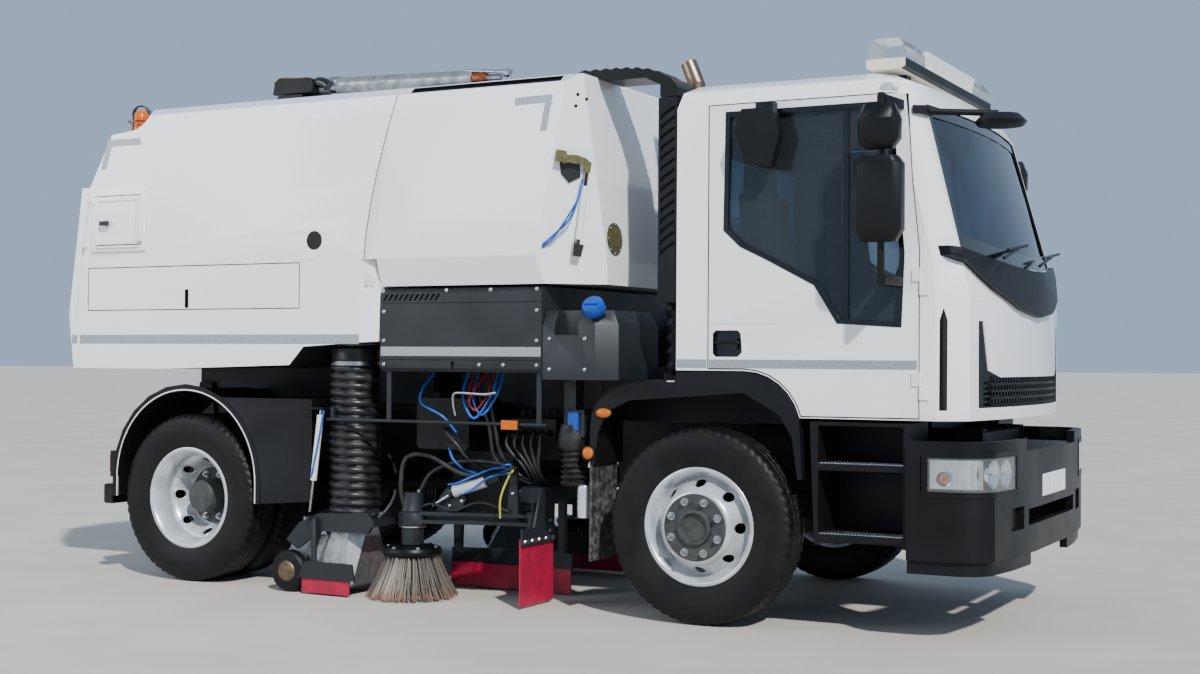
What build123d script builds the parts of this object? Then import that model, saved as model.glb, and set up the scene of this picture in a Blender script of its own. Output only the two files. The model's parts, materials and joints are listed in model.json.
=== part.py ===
from build123d import *
import math
import os

# Street sweeper truck: a two-axle forward-control lorry with a tipping hopper, a sweeper
# engine enclosure and sweep gear on both sides.
# Millimetres. +X forward, +Y left, +Z up. The origin is on the ground, midway along the
# overall length and on the centre line.

# Running gear
wheelbase = 3330
front_axle_x = 1345
rear_axle_x = front_axle_x - wheelbase
axle_z = 500
tyre_radius = 500
tyre_width = 254
bead_radius = 287
lip_radius = 302
rim_half_width = 107
wheel_sides = 24
disc_sides = 16
hub_sides = 12
front_wheel_y = 993
rear_outer_y = 1023
rear_inner_y = 723
twin_gap_y = (rear_outer_y + rear_inner_y) / 2
kingpin_y = 880
kingpin_radius = 20
stub_radius = 40
rear_stub_radius = 45
pin_fit = 0.05

# Chassis
rail_outer_y = 430
rail_web = 8
rail_flange = 75
rail_bottom = 760
rail_top = 1000
rail_rear_x = -2620
rail_front_x = 2620
rail_middle_y = rail_outer_y - rail_flange / 2
subframe_top = 1060

# Cab
cab_half_width = 1050
cab_rear_x = 1195
cab_floor_z = 1060
cab_wall = 45
hinge_pin_y = 1056
hinge_pin_radius = 5
door_rear_x = 1370
door_hinge_x = 2475
hinge_pin_x = door_hinge_x + 3
door_gap = 6
arch_top_z = 1284
arch_turn_x = 1572
arch_turn_radius = 300

# Hopper
hopper_half_width = 1240
hopper_wall = 40
hopper_roof_z = 2832
hopper_chamfer = 50
hopper_side_top = 2790
hopper_skirt_z = 1890
past_side = 1300
tip_pivot = (-2450, 1130)
tip_pin_radius = 25
rear_hinge = (-2716, 2394)
rear_hinge_radius = 7

# Hopper ram: x, z of its two pins at rest
ram_foot = (-400, 850)
ram_head = (-1500, 1180)
ram_pin_radius = 25
ram_rod_radius = 45

# Sweep gear, right side; the left side mirrors it
tube_x = -855
tube_y = -1000
tube_radius = 140
tube_ribs = 8
tube_sides = 12
broom_x = -455
broom_y = -1000
broom_tufts = 16
arm_pivot_x = 230
arm_pivot_y = -820
trail_wheel_x = -1195
trail_wheel_y = -1150
trail_wheel_radius = 120
strut_foot = (-1035, 430)
strut_head = (-958, 1050)
strut_y = -1186


def block(x0, x1, y0, y1, z0, z1):
    """A box given by its limits."""
    size = (x1 - x0, y1 - y0, z1 - z0)
    middle = ((x0 + x1) / 2, (y0 + y1) / 2, (z0 + z1) / 2)
    return Pos(*middle) * Box(*size)


def rod(start, end, radius, sides=0):
    """A round bar from one point to another, or a many-sided one where sides are given."""
    along = Vector(*end) - Vector(*start)
    section = RegularPolygon(radius, sides) if sides else Circle(radius)
    return extrude(Plane(origin=start, z_dir=along) * section, along.length)


def rod_x(y, z, radius, x0, x1, sides=0):
    return rod((x0, y, z), (x1, y, z), radius, sides)


def rod_y(x, z, radius, y0, y1, sides=0):
    return rod((x, y0, z), (x, y1, z), radius, sides)


def rod_z(x, y, radius, z0, z1, sides=0):
    return rod((x, y, z0), (x, y, z1), radius, sides)


def side_plate(points, y0, y1):
    """A plate cut to a side-view outline of (x, z) points."""
    face = make_face(Polyline(*[(x, 0, z) for x, z in points], close=True))
    return Pos(0, y0, 0) * extrude(face, y1 - y0, dir=(0, 1, 0))


def cross_plate(points, x0, x1):
    """A plate cut to a front-view outline of (y, z) points."""
    face = make_face(Polyline(*[(0, y, z) for y, z in points], close=True))
    return Pos(x0, 0, 0) * extrude(face, x1 - x0, dir=(1, 0, 0))


def plan_plate(points, z0, z1):
    """A plate cut to a plan outline of (x, y) points."""
    face = make_face(Polyline(*[(x, y, 0) for x, y in points], close=True))
    return Pos(0, 0, z0) * extrude(face, z1 - z0, dir=(0, 0, 1))


def arc_points(centre, radius, start, end, steps):
    """Points along a circular arc between two angles in degrees."""
    points = []
    for step in range(steps + 1):
        angle = math.radians(start + (end - start) * step / steps)
        points.append((centre[0] + radius * math.cos(angle), centre[1] + radius * math.sin(angle)))
    return points


def skin(rings):
    """A solid skinned over flat rings of matching points, in triangles, with its ends closed."""
    faces = [Face(Wire.make_polygon(rings[0])), Face(Wire.make_polygon(rings[-1]))]
    count = len(rings[0])
    for low, high in zip(rings, rings[1:]):
        for index in range(count):
            after = (index + 1) % count
            faces.append(Face(Wire.make_polygon([low[index], low[after], high[after]])))
            faces.append(Face(Wire.make_polygon([low[index], high[after], high[index]])))
    return Solid(Shell(faces))


def turned(profile, sides):
    """A solid turned about Z from a closed outline of (radius, height) points, in flat facets."""
    turns = [2 * math.pi * (k + 0.5) / sides for k in range(sides + 1)]

    def ring(radius, height):
        return [(radius * math.cos(t), radius * math.sin(t), height) for t in turns[:-1]]

    faces = []
    for (r0, z0), (r1, z1) in zip(profile, profile[1:] + profile[:1]):
        if r0 == 0 and r1 == 0:
            continue
        if z0 == z1:
            outer, inner = max(r0, r1), min(r0, r1)
            holes = [Wire.make_polygon(ring(inner, z0))] if inner > 0 else []
            faces.append(Face(Wire.make_polygon(ring(outer, z0)), holes))
            continue
        for t0, t1 in zip(turns, turns[1:]):
            corners = [(r0 * math.cos(t0), r0 * math.sin(t0), z0)]
            if r1 > 0:
                corners.append((r1 * math.cos(t0), r1 * math.sin(t0), z1))
            corners.append((r1 * math.cos(t1), r1 * math.sin(t1), z1))
            if r0 > 0:
                corners.append((r0 * math.cos(t1), r0 * math.sin(t1), z0))
            faces.append(Face(Wire.make_polygon(corners)))
    return Solid(Shell(faces))


def turned_y(x, z, profile, sides):
    """A faceted ring or disc about a cross-vehicle axis, from (radius, y) points."""
    flipped = [(r, -y) for r, y in profile]
    return Pos(x, 0, z) * Rot(90, 0, 0) * turned(flipped, sides)


def left_of(shape):
    """The mirror image on the other side of the vehicle."""
    return mirror(shape, Plane.XZ)


def pair(*shapes):
    """Right-hand pieces with their left-hand mirror images."""
    return [half for shape in shapes for half in (shape, left_of(shape))]


nodes = {}


def node(name, *shapes):
    """Collect the solids of one node."""
    solids = []
    for shape in shapes:
        group = shape if isinstance(shape, list) else [shape]
        for item in group:
            solids.extend(item.solids())
    nodes[name] = solids


def sided_nodes(name, *shapes):
    """One node for the right side and its mirror image for the left."""
    node(f"{name}_right", *shapes)
    node(f"{name}_left", *[left_of(shape) for shape in shapes])


# Chassis frame
def chassis_rail():
    """A channel section rail, open towards the middle of the vehicle."""
    back = -rail_outer_y
    web, lip = back + rail_web, back + rail_flange
    low, high = rail_bottom + rail_web, rail_top - rail_web
    section = [
        (back, rail_bottom), (lip, rail_bottom), (lip, low), (web, low), (web, high), (lip, high),
        (lip, rail_top), (back, rail_top),
    ]
    return cross_plate(section, rail_rear_x, rail_front_x)


# crossmember: x of its middle, bottom, top
crossmember_length = 90
crossmembers = [(2560, 780, 980), (960, 780, 980), (-240, 780, 980), (-1640, 770, 900), (-2560, 780, 980)]
tow_eye_x = 2700
tow_eye_radius = 20
ram_lug_y = 62
lug_half = 12


def chassis_frame():
    frame = chassis_rail()
    frame += left_of(frame)
    inner_y = rail_outer_y - rail_web
    half = crossmember_length / 2
    pivot_x, pivot_z = tip_pivot
    tip_lug = [
        (pivot_x - 90, 860), (pivot_x + 90, 860), (pivot_x + 50, pivot_z + 50), (pivot_x - 50, pivot_z + 50),
    ]
    ram_foot_lug = [(-285, 790), (-285, 930), (-400, 905), (-455, 850), (-400, 790)]
    for cross_x, low, high in crossmembers:
        frame += block(cross_x - half, cross_x + half, -inner_y, inner_y, low, high)
    for side in (-1, 1):
        sub_y = side * rail_middle_y
        frame += block(-2560, 480, sub_y - rail_flange / 2, sub_y + rail_flange / 2, rail_top, subframe_top)
        lug_y = side * (rail_outer_y + lug_half)
        frame += side_plate(tip_lug, lug_y - lug_half, lug_y + lug_half)
        frame += rod_y(*tip_pivot, tip_pin_radius, *sorted((side * 345, lug_y)))
        frame += side_plate(ram_foot_lug, side * ram_lug_y - lug_half, side * ram_lug_y + lug_half)
    frame += rod_y(*ram_foot, ram_pin_radius, -ram_lug_y, ram_lug_y)
    frame += side_plate([(2520, 780), (2600, 780), (2650, 430), (2650, 370), (2605, 370)], -50, 50)
    frame += plan_plate([(2605, -50), (2730, -50), (2760, -25), (2760, 25), (2730, 50), (2605, 50)], 370, 430)
    return frame - rod_z(tow_eye_x, 0, tow_eye_radius, 300, 600)


node("chassis_frame", chassis_frame())


# Axles
def spring_pack(axle_x, half_length, seat_z, y):
    """A leaf spring of three leaves, stepped underneath, with its hangers up to the rail."""
    leaf = 14
    rise = 60
    middle = 90
    low, top = seat_z, seat_z + 3 * leaf
    half_outline = [
        (middle, low), (half_length * 0.5, low + rise * 0.4), (half_length * 0.5, low + leaf + rise * 0.4),
        (half_length * 0.75, low + leaf + rise * 0.7), (half_length * 0.75, low + 2 * leaf + rise * 0.7),
        (half_length, top - leaf + rise), (half_length, top + rise), (middle, top),
    ]
    outline = [(axle_x + u, z) for u, z in half_outline] + [(axle_x - u, z) for u, z in half_outline[::-1]]
    pack = side_plate(outline, y - 35, y + 35)
    for end in (-1, 1):
        eye_x = axle_x + end * half_length
        hanger = [
            (eye_x - 30, top + rise - 30), (eye_x + 30, top + rise - 30), (eye_x + 45, rail_bottom),
            (eye_x - 45, rail_bottom),
        ]
        pack += side_plate(hanger, y - 35, y + 35)
    return pack


beam_z = 400


def front_axle():
    """A cranked I-beam's outline with a kingpin boss and pin at each end."""
    x0, x1 = front_axle_x - 45, front_axle_x + 45
    outline = [
        (-900, 555), (-850, 555), (-600, beam_z + 35), (600, beam_z + 35), (850, 555), (900, 555), (900, 445),
        (840, 445), (600, beam_z - 55), (-600, beam_z - 55), (-840, 445), (-900, 445),
    ]
    beam = cross_plate(outline, x0, x1)
    for side in (-1, 1):
        beam += rod_z(front_axle_x, side * kingpin_y, 45, 445, 555, 10)
        beam += rod_z(front_axle_x, side * kingpin_y, kingpin_radius, 395, 605)
        spring_y = side * rail_middle_y
        beam += block(front_axle_x - 60, front_axle_x + 60, spring_y - 45, spring_y + 45, 420, 480)
        beam += spring_pack(front_axle_x, 750, 480, spring_y)
    return beam


def rear_axle():
    """The casing with its stubs and differential, the springs and the propeller shaft."""
    banjo = [(0, -140), (150, -120), (210, -40), (210, 40), (150, 120), (0, 140)]
    casing = turned_y(rear_axle_x, axle_z, banjo, 12)
    casing += rod_y(rear_axle_x, axle_z, 75, -560, 560, 10)
    casing += rod_y(rear_axle_x, axle_z, rear_stub_radius, -960, 960)
    nose_z = axle_z + 30
    casing += rod_x(0, nose_z, 80, rear_axle_x + 150, rear_axle_x + 380, 10)
    casing += rod((rear_axle_x + 370, 0, nose_z), (1000, 0, 700), 50, 10)
    casing += rod_x(0, 700, 62, 980, 1020, 10)
    for side in (-1, 1):
        spring_y = side * rail_middle_y
        casing += block(rear_axle_x - 70, rear_axle_x + 70, spring_y - 45, spring_y + 45, 540, 585)
        casing += spring_pack(rear_axle_x, 550, 585, spring_y)
    return casing


node("front_axle", front_axle())
node("rear_axle", rear_axle())


# Steering knuckles
def knuckle_right():
    """The stub, its brake flange and the fork round the kingpin."""
    body = rod_y(front_axle_x, axle_z, stub_radius, -1090, -935)
    body += turned_y(front_axle_x, axle_z, [(0, -975), (190, -975), (190, -945), (0, -945)], 12)
    body += block(front_axle_x - 45, front_axle_x + 45, -950, -930, 400, 600)
    for low in (397, 560):
        fork = [
            (front_axle_x - 42, -932), (front_axle_x - 42, -kingpin_y), (front_axle_x - 20, -842),
            (front_axle_x + 20, -842), (front_axle_x + 42, -kingpin_y), (front_axle_x + 42, -932),
        ]
        body += plan_plate(fork, low, low + 43)
    return body - rod_z(front_axle_x, -kingpin_y, kingpin_radius + pin_fit, 380, 620)


sided_nodes("knuckle", knuckle_right())

# Wheels
# tyre outline, from the bead to the tread's edge: radius, distance from the wheel's middle plane
tyre_side = [(bead_radius, 94), (400, tyre_width / 2), (480, 117), (tyre_radius, 88)]
tyre_outline = [(r, -y) for r, y in tyre_side] + tyre_side[::-1]
# rim outline, from the outer lip through the drop centre to the inner lip and back inside
rim_outline = [
    (lip_radius, -rim_half_width), (lip_radius, -99), (282, -98), (252, 0), (282, 98), (lip_radius, 99),
    (lip_radius, rim_half_width), (276, rim_half_width), (244, 0), (276, -rim_half_width),
]
disc_face = 138
hub_hole_radius = 100
hand_holes = 8
hand_hole_circle = 214
hand_hole_radius = 25
# hub outlines: radius, distance outwards from the wheel's middle plane
front_hub_outline = [
    (0, -10), (102, -10), (102, 122), (168, 122), (168, 150), (92, 150), (86, 168), (0, 168),
]
rear_hub_outline = [
    (0, -60), (102, -60), (102, -26), (168, -26), (168, 30), (102, 30), (94, 150), (0, 150),
]


def tyre_at(axle_x, wheel_y):
    return turned_y(axle_x, axle_z, [(r, wheel_y + y) for r, y in tyre_outline], wheel_sides)


def rim_at(axle_x, wheel_y, disc_side):
    """A pressed rim with its lips and drop centre, and a dished disc with hand holes.

    disc_side is -1 where the disc's mounting face lies towards -Y of the rim's middle plane.
    """
    rim = turned_y(axle_x, axle_z, [(r, wheel_y + y) for r, y in rim_outline], disc_sides)
    dish = [
        (hub_hole_radius, disc_face), (180, disc_face), (256, 38), (256, 22), (174, disc_face - 14),
        (hub_hole_radius, disc_face - 14),
    ]
    disc = turned_y(axle_x, axle_z, [(r, wheel_y + disc_side * y) for r, y in dish], disc_sides)
    for index in range(hand_holes):
        angle = 360 * index / hand_holes
        hole = Pos(axle_x, wheel_y + disc_side * 80, axle_z) * Rot(0, angle, 0) * Pos(hand_hole_circle, 0, 0)
        disc -= hole * Rot(90, 0, 0) * extrude(RegularPolygon(hand_hole_radius, 6), 70, both=True)
    return rim + disc


def front_rim():
    """The rim with its cast hub, bored for the stub."""
    y = -front_wheel_y
    hub = [(r, y - out) for r, out in front_hub_outline]
    wheel = rim_at(front_axle_x, y, -1) + turned_y(front_axle_x, axle_z, hub, hub_sides)
    return wheel - rod_y(front_axle_x, axle_z, stub_radius + pin_fit, y - 105, y + 60)


def rear_rims():
    """Two rims, back to back on one hub."""
    y = -twin_gap_y
    hub = [(r, y - out) for r, out in rear_hub_outline]
    wheels = rim_at(rear_axle_x, -rear_outer_y, 1) + rim_at(rear_axle_x, -rear_inner_y, -1)
    wheels += turned_y(rear_axle_x, axle_z, hub, hub_sides)
    return wheels - rod_y(rear_axle_x, axle_z, rear_stub_radius + pin_fit, y - 92, y + 100)


sided_nodes("front_tyre", tyre_at(front_axle_x, -front_wheel_y))
sided_nodes("front_rim", front_rim())
sided_nodes("rear_tyres", tyre_at(rear_axle_x, -rear_outer_y), tyre_at(rear_axle_x, -rear_inner_y))
sided_nodes("rear_rims", rear_rims())

# Truck engine, one plain block with its gearbox behind it
node("truck_engine", block(1320, 2320, -310, 310, 620, 1200) + block(1020, 1320, -170, 170, 600, 880))

# Cab
# section: height, half width, x where the side ends, x of the corner, x on the centre line, rear x
cab_sections = [
    (cab_floor_z, 1050, 2560, 2690, 2790, cab_rear_x),
    (1640, 1050, 2550, 2690, 2785, cab_rear_x),
    (1860, 1050, 2530, 2645, 2735, cab_rear_x),
    (2630, 1050, 2335, 2430, 2506, cab_rear_x),
    (2715, 1015, 2290, 2375, 2440, 1215),
    (2755, 940, 2210, 2290, 2350, 1270),
]
corner_share = 0.9
front_steps = 6


def cab_volume(inset, floor_lift=0):
    """The cab's outer form, or the same form drawn in by a wall thickness."""
    rings = []
    last = len(cab_sections) - 1
    for index, (height, half_width, side_x, corner_x, centre_x, rear_x) in enumerate(cab_sections):
        if index == 0:
            height += floor_lift
        if index == last:
            height -= inset
        w = half_width - inset
        corner_w = half_width * corner_share - inset
        points = [(rear_x + inset, w), (rear_x + inset, -w), (side_x - inset, -w)]
        for step in range(front_steps + 1):
            across = 2 * step / front_steps - 1
            x = centre_x - (centre_x - corner_x) * across**2
            points.append((x - inset, corner_w * across))
        points.append((side_x - inset, w))
        rings.append([(x, y, height) for x, y in points])
    return skin(rings)


def arch_line(gap):
    """The front wheel arch's outline, its flat top and front turn, as (x, z) points."""
    turn = arc_points((arch_turn_x, arch_top_z - arch_turn_radius), arch_turn_radius + gap, 90, 15, 6)
    return [(1100, arch_top_z + gap)] + turn


# door outline and window outline: x, z
door_outline = [
    (door_rear_x, arch_top_z + 12), *arch_line(12)[1:], (door_hinge_x, 1066), (door_hinge_x, 1880),
    (2395, 2640), (door_rear_x, 2640),
]
window_outline = [
    (1465, 2600), (1455, 2000), (1545, 1915), (1690, 1845), (1940, 1715), (2060, 1525), (2385, 1505),
    (2400, 1860), (2335, 2600),
]
# windscreen: half width and height of its lower corners, height in the middle, upper corners
screen_low = (930, 1890, 1830)
screen_high = (870, 2600)


def screen_foot(half_width, corner_z, middle_z, steps=6):
    """A shallow curve across the cab front, low in the middle, as (y, z) points."""
    points = []
    for step in range(steps + 1):
        across = 2 * step / steps - 1
        points.append((half_width * across, middle_z + (corner_z - middle_z) * across**2))
    return points


def front_prism(points):
    """A front-view outline run through the cab's front wall."""
    return cross_plate(points, 2250, 2950)


screen_prism = front_prism(screen_foot(*screen_low) + [screen_high, (-screen_high[0], screen_high[1])])
cowl_top = screen_foot(1020, 1896, 1822)
cowl_prism = front_prism(screen_foot(1020, 1850, 1575) + cowl_top[::-1])
rear_window = block(1100, 1300, -600, 600, 1900, 2450)
grille_half = [(850, 1120), (850, 1540), (790, 1540), (730, 1300), (600, 1268)]
grille_prism = cross_plate(grille_half + [(-y, z) for y, z in grille_half[::-1]], 2600, 2900)
cowl_sink = 14
cowl_bulge = 26


# each door hinge: bottom and middle of its knuckles, the lower one on the cab
door_hinges = [(1160, 1225), (1660, 1725)]
knuckle_length = 64
leaf_reach = 40


def hinge_leaf(leaf_x, foot, sides=0):
    """One knuckle of a door hinge on the right side, with the leaf that carries it."""
    low, high = foot, foot + knuckle_length
    near, far = sorted((hinge_pin_x, leaf_x))
    leaf = block(near, far, -hinge_pin_y - 2, -cab_half_width - 1, low, high)
    root_near, root_far = sorted((leaf_x, hinge_pin_x + (leaf_x - hinge_pin_x) * 0.4))
    leaf += block(root_near, root_far, -hinge_pin_y - 2, -cab_half_width + 6, low, high)
    return leaf + rod_z(hinge_pin_x, -hinge_pin_y, hinge_pin_radius, low, high, sides)


def cab_shell():
    """The hollow cab with its arch covers, engine tunnel, door holes and windows."""
    outer = cab_volume(0)
    shell = outer - cab_volume(cab_wall, floor_lift=cab_wall)
    arch_cover = [(1150, 1060), (1150, 1335), (1590, 1335), (1775, 1250), (1880, 1120), (1890, 1060)]
    shell += outer & side_plate(arch_cover, -past_side, past_side)
    shell += outer & block(1000, 2440, -420, 420, 1000, 1290)
    shell -= side_plate(arch_line(door_gap) + [(1868, 1000), (1100, 1000)], -past_side, past_side)
    shell -= block(1000, 2400, -380, 380, 1000, 1250)
    shell -= side_plate(door_outline, -past_side, -900) + side_plate(door_outline, 900, past_side)
    shell -= screen_prism
    shell -= rear_window
    shell -= grille_prism
    shell -= cowl_prism - cab_volume(cowl_sink)
    for side in (-1, 1):
        slit_y = sorted((side * 1012, side * 1100))
        shell -= side_plate([(2568, 1110), (2600, 1110), (2600, 1540), (2584, 1600), (2568, 1540)], *slit_y)
    for low, middle in door_hinges:
        leaf = hinge_leaf(hinge_pin_x + leaf_reach, low, 8)
        shell += leaf + left_of(leaf)
    return shell


node("cab_shell", cab_shell())

glass_layer = cab_volume(12) - cab_volume(20)
node("cab_glass", glass_layer & screen_prism, glass_layer & rear_window)


# Door
handle_recess = [
    (1400, 1376), (1416, 1360), (1536, 1360), (1560, 1384), (1552, 1478), (1536, 1494), (1416, 1494),
    (1400, 1478),
]


def door_panel():
    """A door of full wall thickness with its window, handle recess and pressed lines."""
    face = make_face(Polyline(*[(x, 0, z) for x, z in door_outline], close=True))
    shrunk = offset(face, amount=-door_gap, kind=Kind.INTERSECTION)
    panel = Pos(0, -cab_half_width, 0) * extrude(shrunk, cab_wall, dir=(0, 1, 0))
    panel -= side_plate(window_outline, -1100, -900)
    panel -= side_plate(handle_recess, -1060, -1022)
    panel += block(1440, 1530, -1044, -1020, 1400, 1454)
    panel -= side_plate([(1372, 1521), (2052, 1521), (2050, 1525), (1372, 1525)], -1060, -1047)
    for low, middle in door_hinges:
        panel += hinge_leaf(hinge_pin_x - leaf_reach, middle)
    return panel


def cut_rectangle(a, b, cut):
    """A rectangle of half sizes a and b with its corners cut off, as eight points."""
    half = [(a, b - cut), (a - cut, b), (cut - a, b), (-a, b - cut)]
    return half + [(-x, -y) for x, y in half]


def mirror_head(x, y, half_x, half_y, heights):
    """A moulded mirror housing: chamfered sections, drawn in at its top and bottom."""
    rings = []
    for height, share in heights:
        a, b = half_x * share, half_y * share
        rings.append([(x + u, y + v, height) for u, v in cut_rectangle(a, b, min(a, b) * 0.5)])
    return skin(rings)


# mirror heads: height, share of the full size
lower_head = ((1905, 0.72), (1960, 1.0), (2270, 1.0), (2306, 0.78))
upper_head = ((2340, 0.66), (2385, 0.98), (2480, 1.0), (2552, 0.72))
kerb_mirror = [(1600, 2590), (1560, 2480), (1620, 2320), (1760, 2300), (1800, 2460), (1765, 2590)]


def door_mirrors():
    """Two heads on an upright tube with arms to the door, and the kerb mirror over the window."""
    post_x, post_y = 2350, -1262
    tip, root = 22, 45
    mirrors = rod_z(post_x, post_y, 18, 1702, 2606, 8)
    arm = [
        (post_x - tip, post_y), (post_x + tip, post_y), (post_x + root, -cab_half_width),
        (post_x - root, -cab_half_width),
    ]
    for arm_z in (2575, 1725):
        mirrors += plan_plate(arm, arm_z - tip, arm_z + tip)
    mirrors += mirror_head(2340, -1268, 118, 62, lower_head)
    mirrors += mirror_head(2342, -1262, 100, 56, upper_head)
    mirrors += block(1655, 1745, -1120, -cab_half_width, 2560, 2628)
    return mirrors + side_plate(kerb_mirror, -1170, -1110)


sided_nodes("door", door_panel())
sided_nodes("door_glass", side_plate(window_outline, -1034, -1028))
sided_nodes("mirrors", door_mirrors())


# Cab interior: two seats, the dashboard and the steering wheel
# seat pieces, each a side outline of x, z and a half width
seat_pieces = [
    ([(1560, 1500), (2040, 1500), (2065, 1570), (2040, 1615), (1560, 1600)], 240),
    ([(1520, 1560), (1640, 1560), (1560, 2200), (1460, 2200)], 230),
    ([(1450, 2195), (1540, 2195), (1530, 2380), (1450, 2380)], 130),
    ([(1620, 1336), (1895, 1336), (1895, 1105), (2000, 1105), (2000, 1500), (1620, 1500)], 180),
]


def seat(middle_y):
    """Cushion, back, head rest and base in one."""
    plates = [side_plate(outline, middle_y - half, middle_y + half) for outline, half in seat_pieces]
    whole = plates[0]
    for plate in plates[1:]:
        whole += plate
    return whole


def dashboard():
    outline = [(2380, 1380), (2700, 1380), (2700, 1780), (2600, 1850), (2420, 1800), (2380, 1700)]
    return side_plate(outline, -980, 980) & cab_volume(cab_wall + 4, floor_lift=cab_wall)


def steering():
    """A steering wheel with one spoke on its column."""
    hub_at_column = (2310, -520, 1860)
    rim = turned([(199, -14), (228, -14), (232, 8), (214, 16), (198, 8)], 14)
    boss = turned([(0, -14), (60, -14), (50, 14), (0, 14)], 8)
    wheel = Pos(*hub_at_column) * Rot(0, -60, 0) * (rim + boss + Box(30, 406, 16))
    return wheel + rod(hub_at_column, (2460, -520, 1600), 32, 10)


node("cab_interior", seat(-640), seat(640), dashboard() + steering())

# Front grille, slatted below the bonnet panel, with a leg up each side of it
grille = (cab_volume(6) - cab_volume(40)) & grille_prism
for slot in range(5):
    grille -= block(2600, 2900, -780, 780, 1130 + 26 * slot, 1142 + 26 * slot)
node("grille", grille)


# Black trim of the cab: the cowl under the windscreen, the wipers and the front mirror
def wiper(pivot_y, reach):
    """An arm and blade lying just ahead of the lower windscreen."""
    arm = rod((2790, pivot_y, 1850), (2752, pivot_y + reach, 1925), 9, 6)
    blade = rod((2770, pivot_y + reach * 0.35, 1900), (2742, pivot_y + reach * 1.5, 1955), 8, 6)
    return arm + blade


def front_mirror():
    """A flat round head on an arm that reaches ahead of the windscreen's right corner."""
    arm = rod((2450, -905, 2560), (2790, -820, 2540), 16, 8)
    plate = plan_plate([(2420, -1000), (2480, -960), (2480, -860), (2420, -880)], 2540, 2580)
    head = Pos(2800, -815, 2500) * turned([(0, -28), (110, -22), (125, 0), (90, 34), (0, 40)], 12)
    return arm + plate + head - cab_volume(0)


cowl = (cab_volume(-cowl_bulge) - cab_volume(cowl_sink - 1)) & cowl_prism
node("cab_trim", cowl + wiper(-700, 460) + wiper(60, 460), front_mirror())


# Front bumper
def bumper_solid(inset, low, high):
    """The bumper's plan drawn in by an inset, with round corners and a bowed front."""
    w = 1100 - inset
    left = [(2425, w), (2640, w)]
    turn = arc_points((2640, 900), 200 - inset, 90, 25, 4)[1:]
    front = [(2862 - inset, 700), (2880 - inset, 380)]
    half = left + turn + front
    return plan_plate(half + [(x, -y) for x, y in half[::-1]], low, high)


lamp_outline = [(2495, 724), (2495, 896), (2515, 906), (2900, 906), (2900, 714), (2515, 714)]


bumper_shell = bumper_solid(0, 400, 966) - bumper_solid(42, 300, 1100)


def front_bumper():
    """A hollow moulding with lamp holes, a lower air slot, fog lamp pockets, a chin and a shelf."""
    bumper = bumper_shell
    chin = bumper_solid(18, 335, 402) - bumper_solid(58, 300, 1100)
    bumper += chin - block(2600, 2900, -420, 420, 300, 402)
    bumper += bumper_solid(20, 885, 903) - block(2400, 2640, -445, 445, 800, 1000)
    bumper -= block(2700, 2900, -520, 520, 540, 620)
    bumper -= block(2700, 2900, -560, 560, 905, 1000)
    for side in (-1, 1):
        lamp = side_plate(lamp_outline, *sorted((side * 700, side * 1200)))
        bumper -= lamp
        bumper -= block(2834, 2900, side * 690 - 90, side * 690 + 90, 530, 640)
        bumper += block(rail_front_x, 2840, side * 400 - 40, side * 400 + 40, 770, 900)
    return bumper


headlamp = side_plate(lamp_outline, -1200, -700) & bumper_shell
headlamp -= bumper_solid(20, 885, 903)
node("front_bumper", front_bumper())
node("headlamps", pair(headlamp))


# Cab steps
def step_module():
    """Two treads between side walls, open towards the outside."""
    front_wall = side_plate([(2395, 440), (2415, 440), (2415, 1045), (2395, 1045)], -1050, -700)
    rear_wall = side_plate([(1945, 440), (1965, 440), (1965, 1045), (1920, 1045)], -1050, -700)
    module = front_wall + rear_wall + block(1945, 2415, -720, -700, 440, 1045)
    module += block(1925, 2415, -1050, -700, 1025, 1045)
    for tread_z in (455, 800):
        top = tread_z + 40
        tread = [(-1050, tread_z + 8), (-1035, tread_z), (-700, tread_z), (-700, top), (-1050, top)]
        module += cross_plate(tread, 1945, 2415)
    return module


node("cab_steps", pair(step_module()))


# Front mudguards
lip_inner = [
    (1860, 755), (1830, 960), (1760, 1075), (1570, 1178), (1180, 1150), (930, 1130), (800, 1070),
    (748, 960), (726, 790),
]
liner_bottom = 1015


def front_mudguard():
    """The arch moulding round the front wheel: a sheet, its outer lip, its liner and the mud flap."""
    turn_z = arch_top_z - arch_turn_radius
    rear_turn = (930, 992)
    outer = [(700, 790)] + arc_points(rear_turn, 230, 180, 90, 5) + [(1188, 1230), (1200, arch_top_z)]
    outer += arc_points((arch_turn_x, turn_z), arch_turn_radius, 90, 0, 7) + [(1884, 755)]
    inner = [(1860, 755)] + arc_points((arch_turn_x, turn_z), arch_turn_radius - 26, 0, 90, 7)
    inner += [(1226, 1258), (1214, 1204)] + arc_points(rear_turn, 204, 90, 180, 5) + [(726, 790)]
    sheet = side_plate(outer + inner, -1056, -720)
    lip = side_plate(outer + lip_inner, -1056, -1034)
    liner = side_plate(outer, -740, -720) & block(600, 2000, -800, -700, liner_bottom, 1400)
    flap = side_plate([(694, 280), (709, 280), (712, 800), (697, 800)], -1050, -760)
    return sheet + lip + liner + flap


node("front_mudguards", pair(front_mudguard()))


# Light bar on the cab roof: a base board, a lens module at each end and a blank sign between
def light_bar():
    """The board on its feet, with the lens modules and the sign that slopes forward."""
    board = [(2128, 2806), (2150, 2792), (2310, 2792), (2332, 2806), (2332, 2848), (2128, 2848)]
    base = side_plate(board, -830, 830)
    lens = [(2134, 2848), (2134, 2905), (2160, 2950), (2300, 2950), (2326, 2905), (2326, 2848)]
    for side in (-1, 1):
        base += side_plate(lens, *sorted((side * 470, side * 822)))
        base += block(2180, 2280, side * 600 - 40, side * 600 + 40, 2755, 2800)
    sign = side_plate([(2280, 2848), (2320, 2848), (2336, 2935), (2300, 2935)], -460, 460)
    return base + sign


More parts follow.
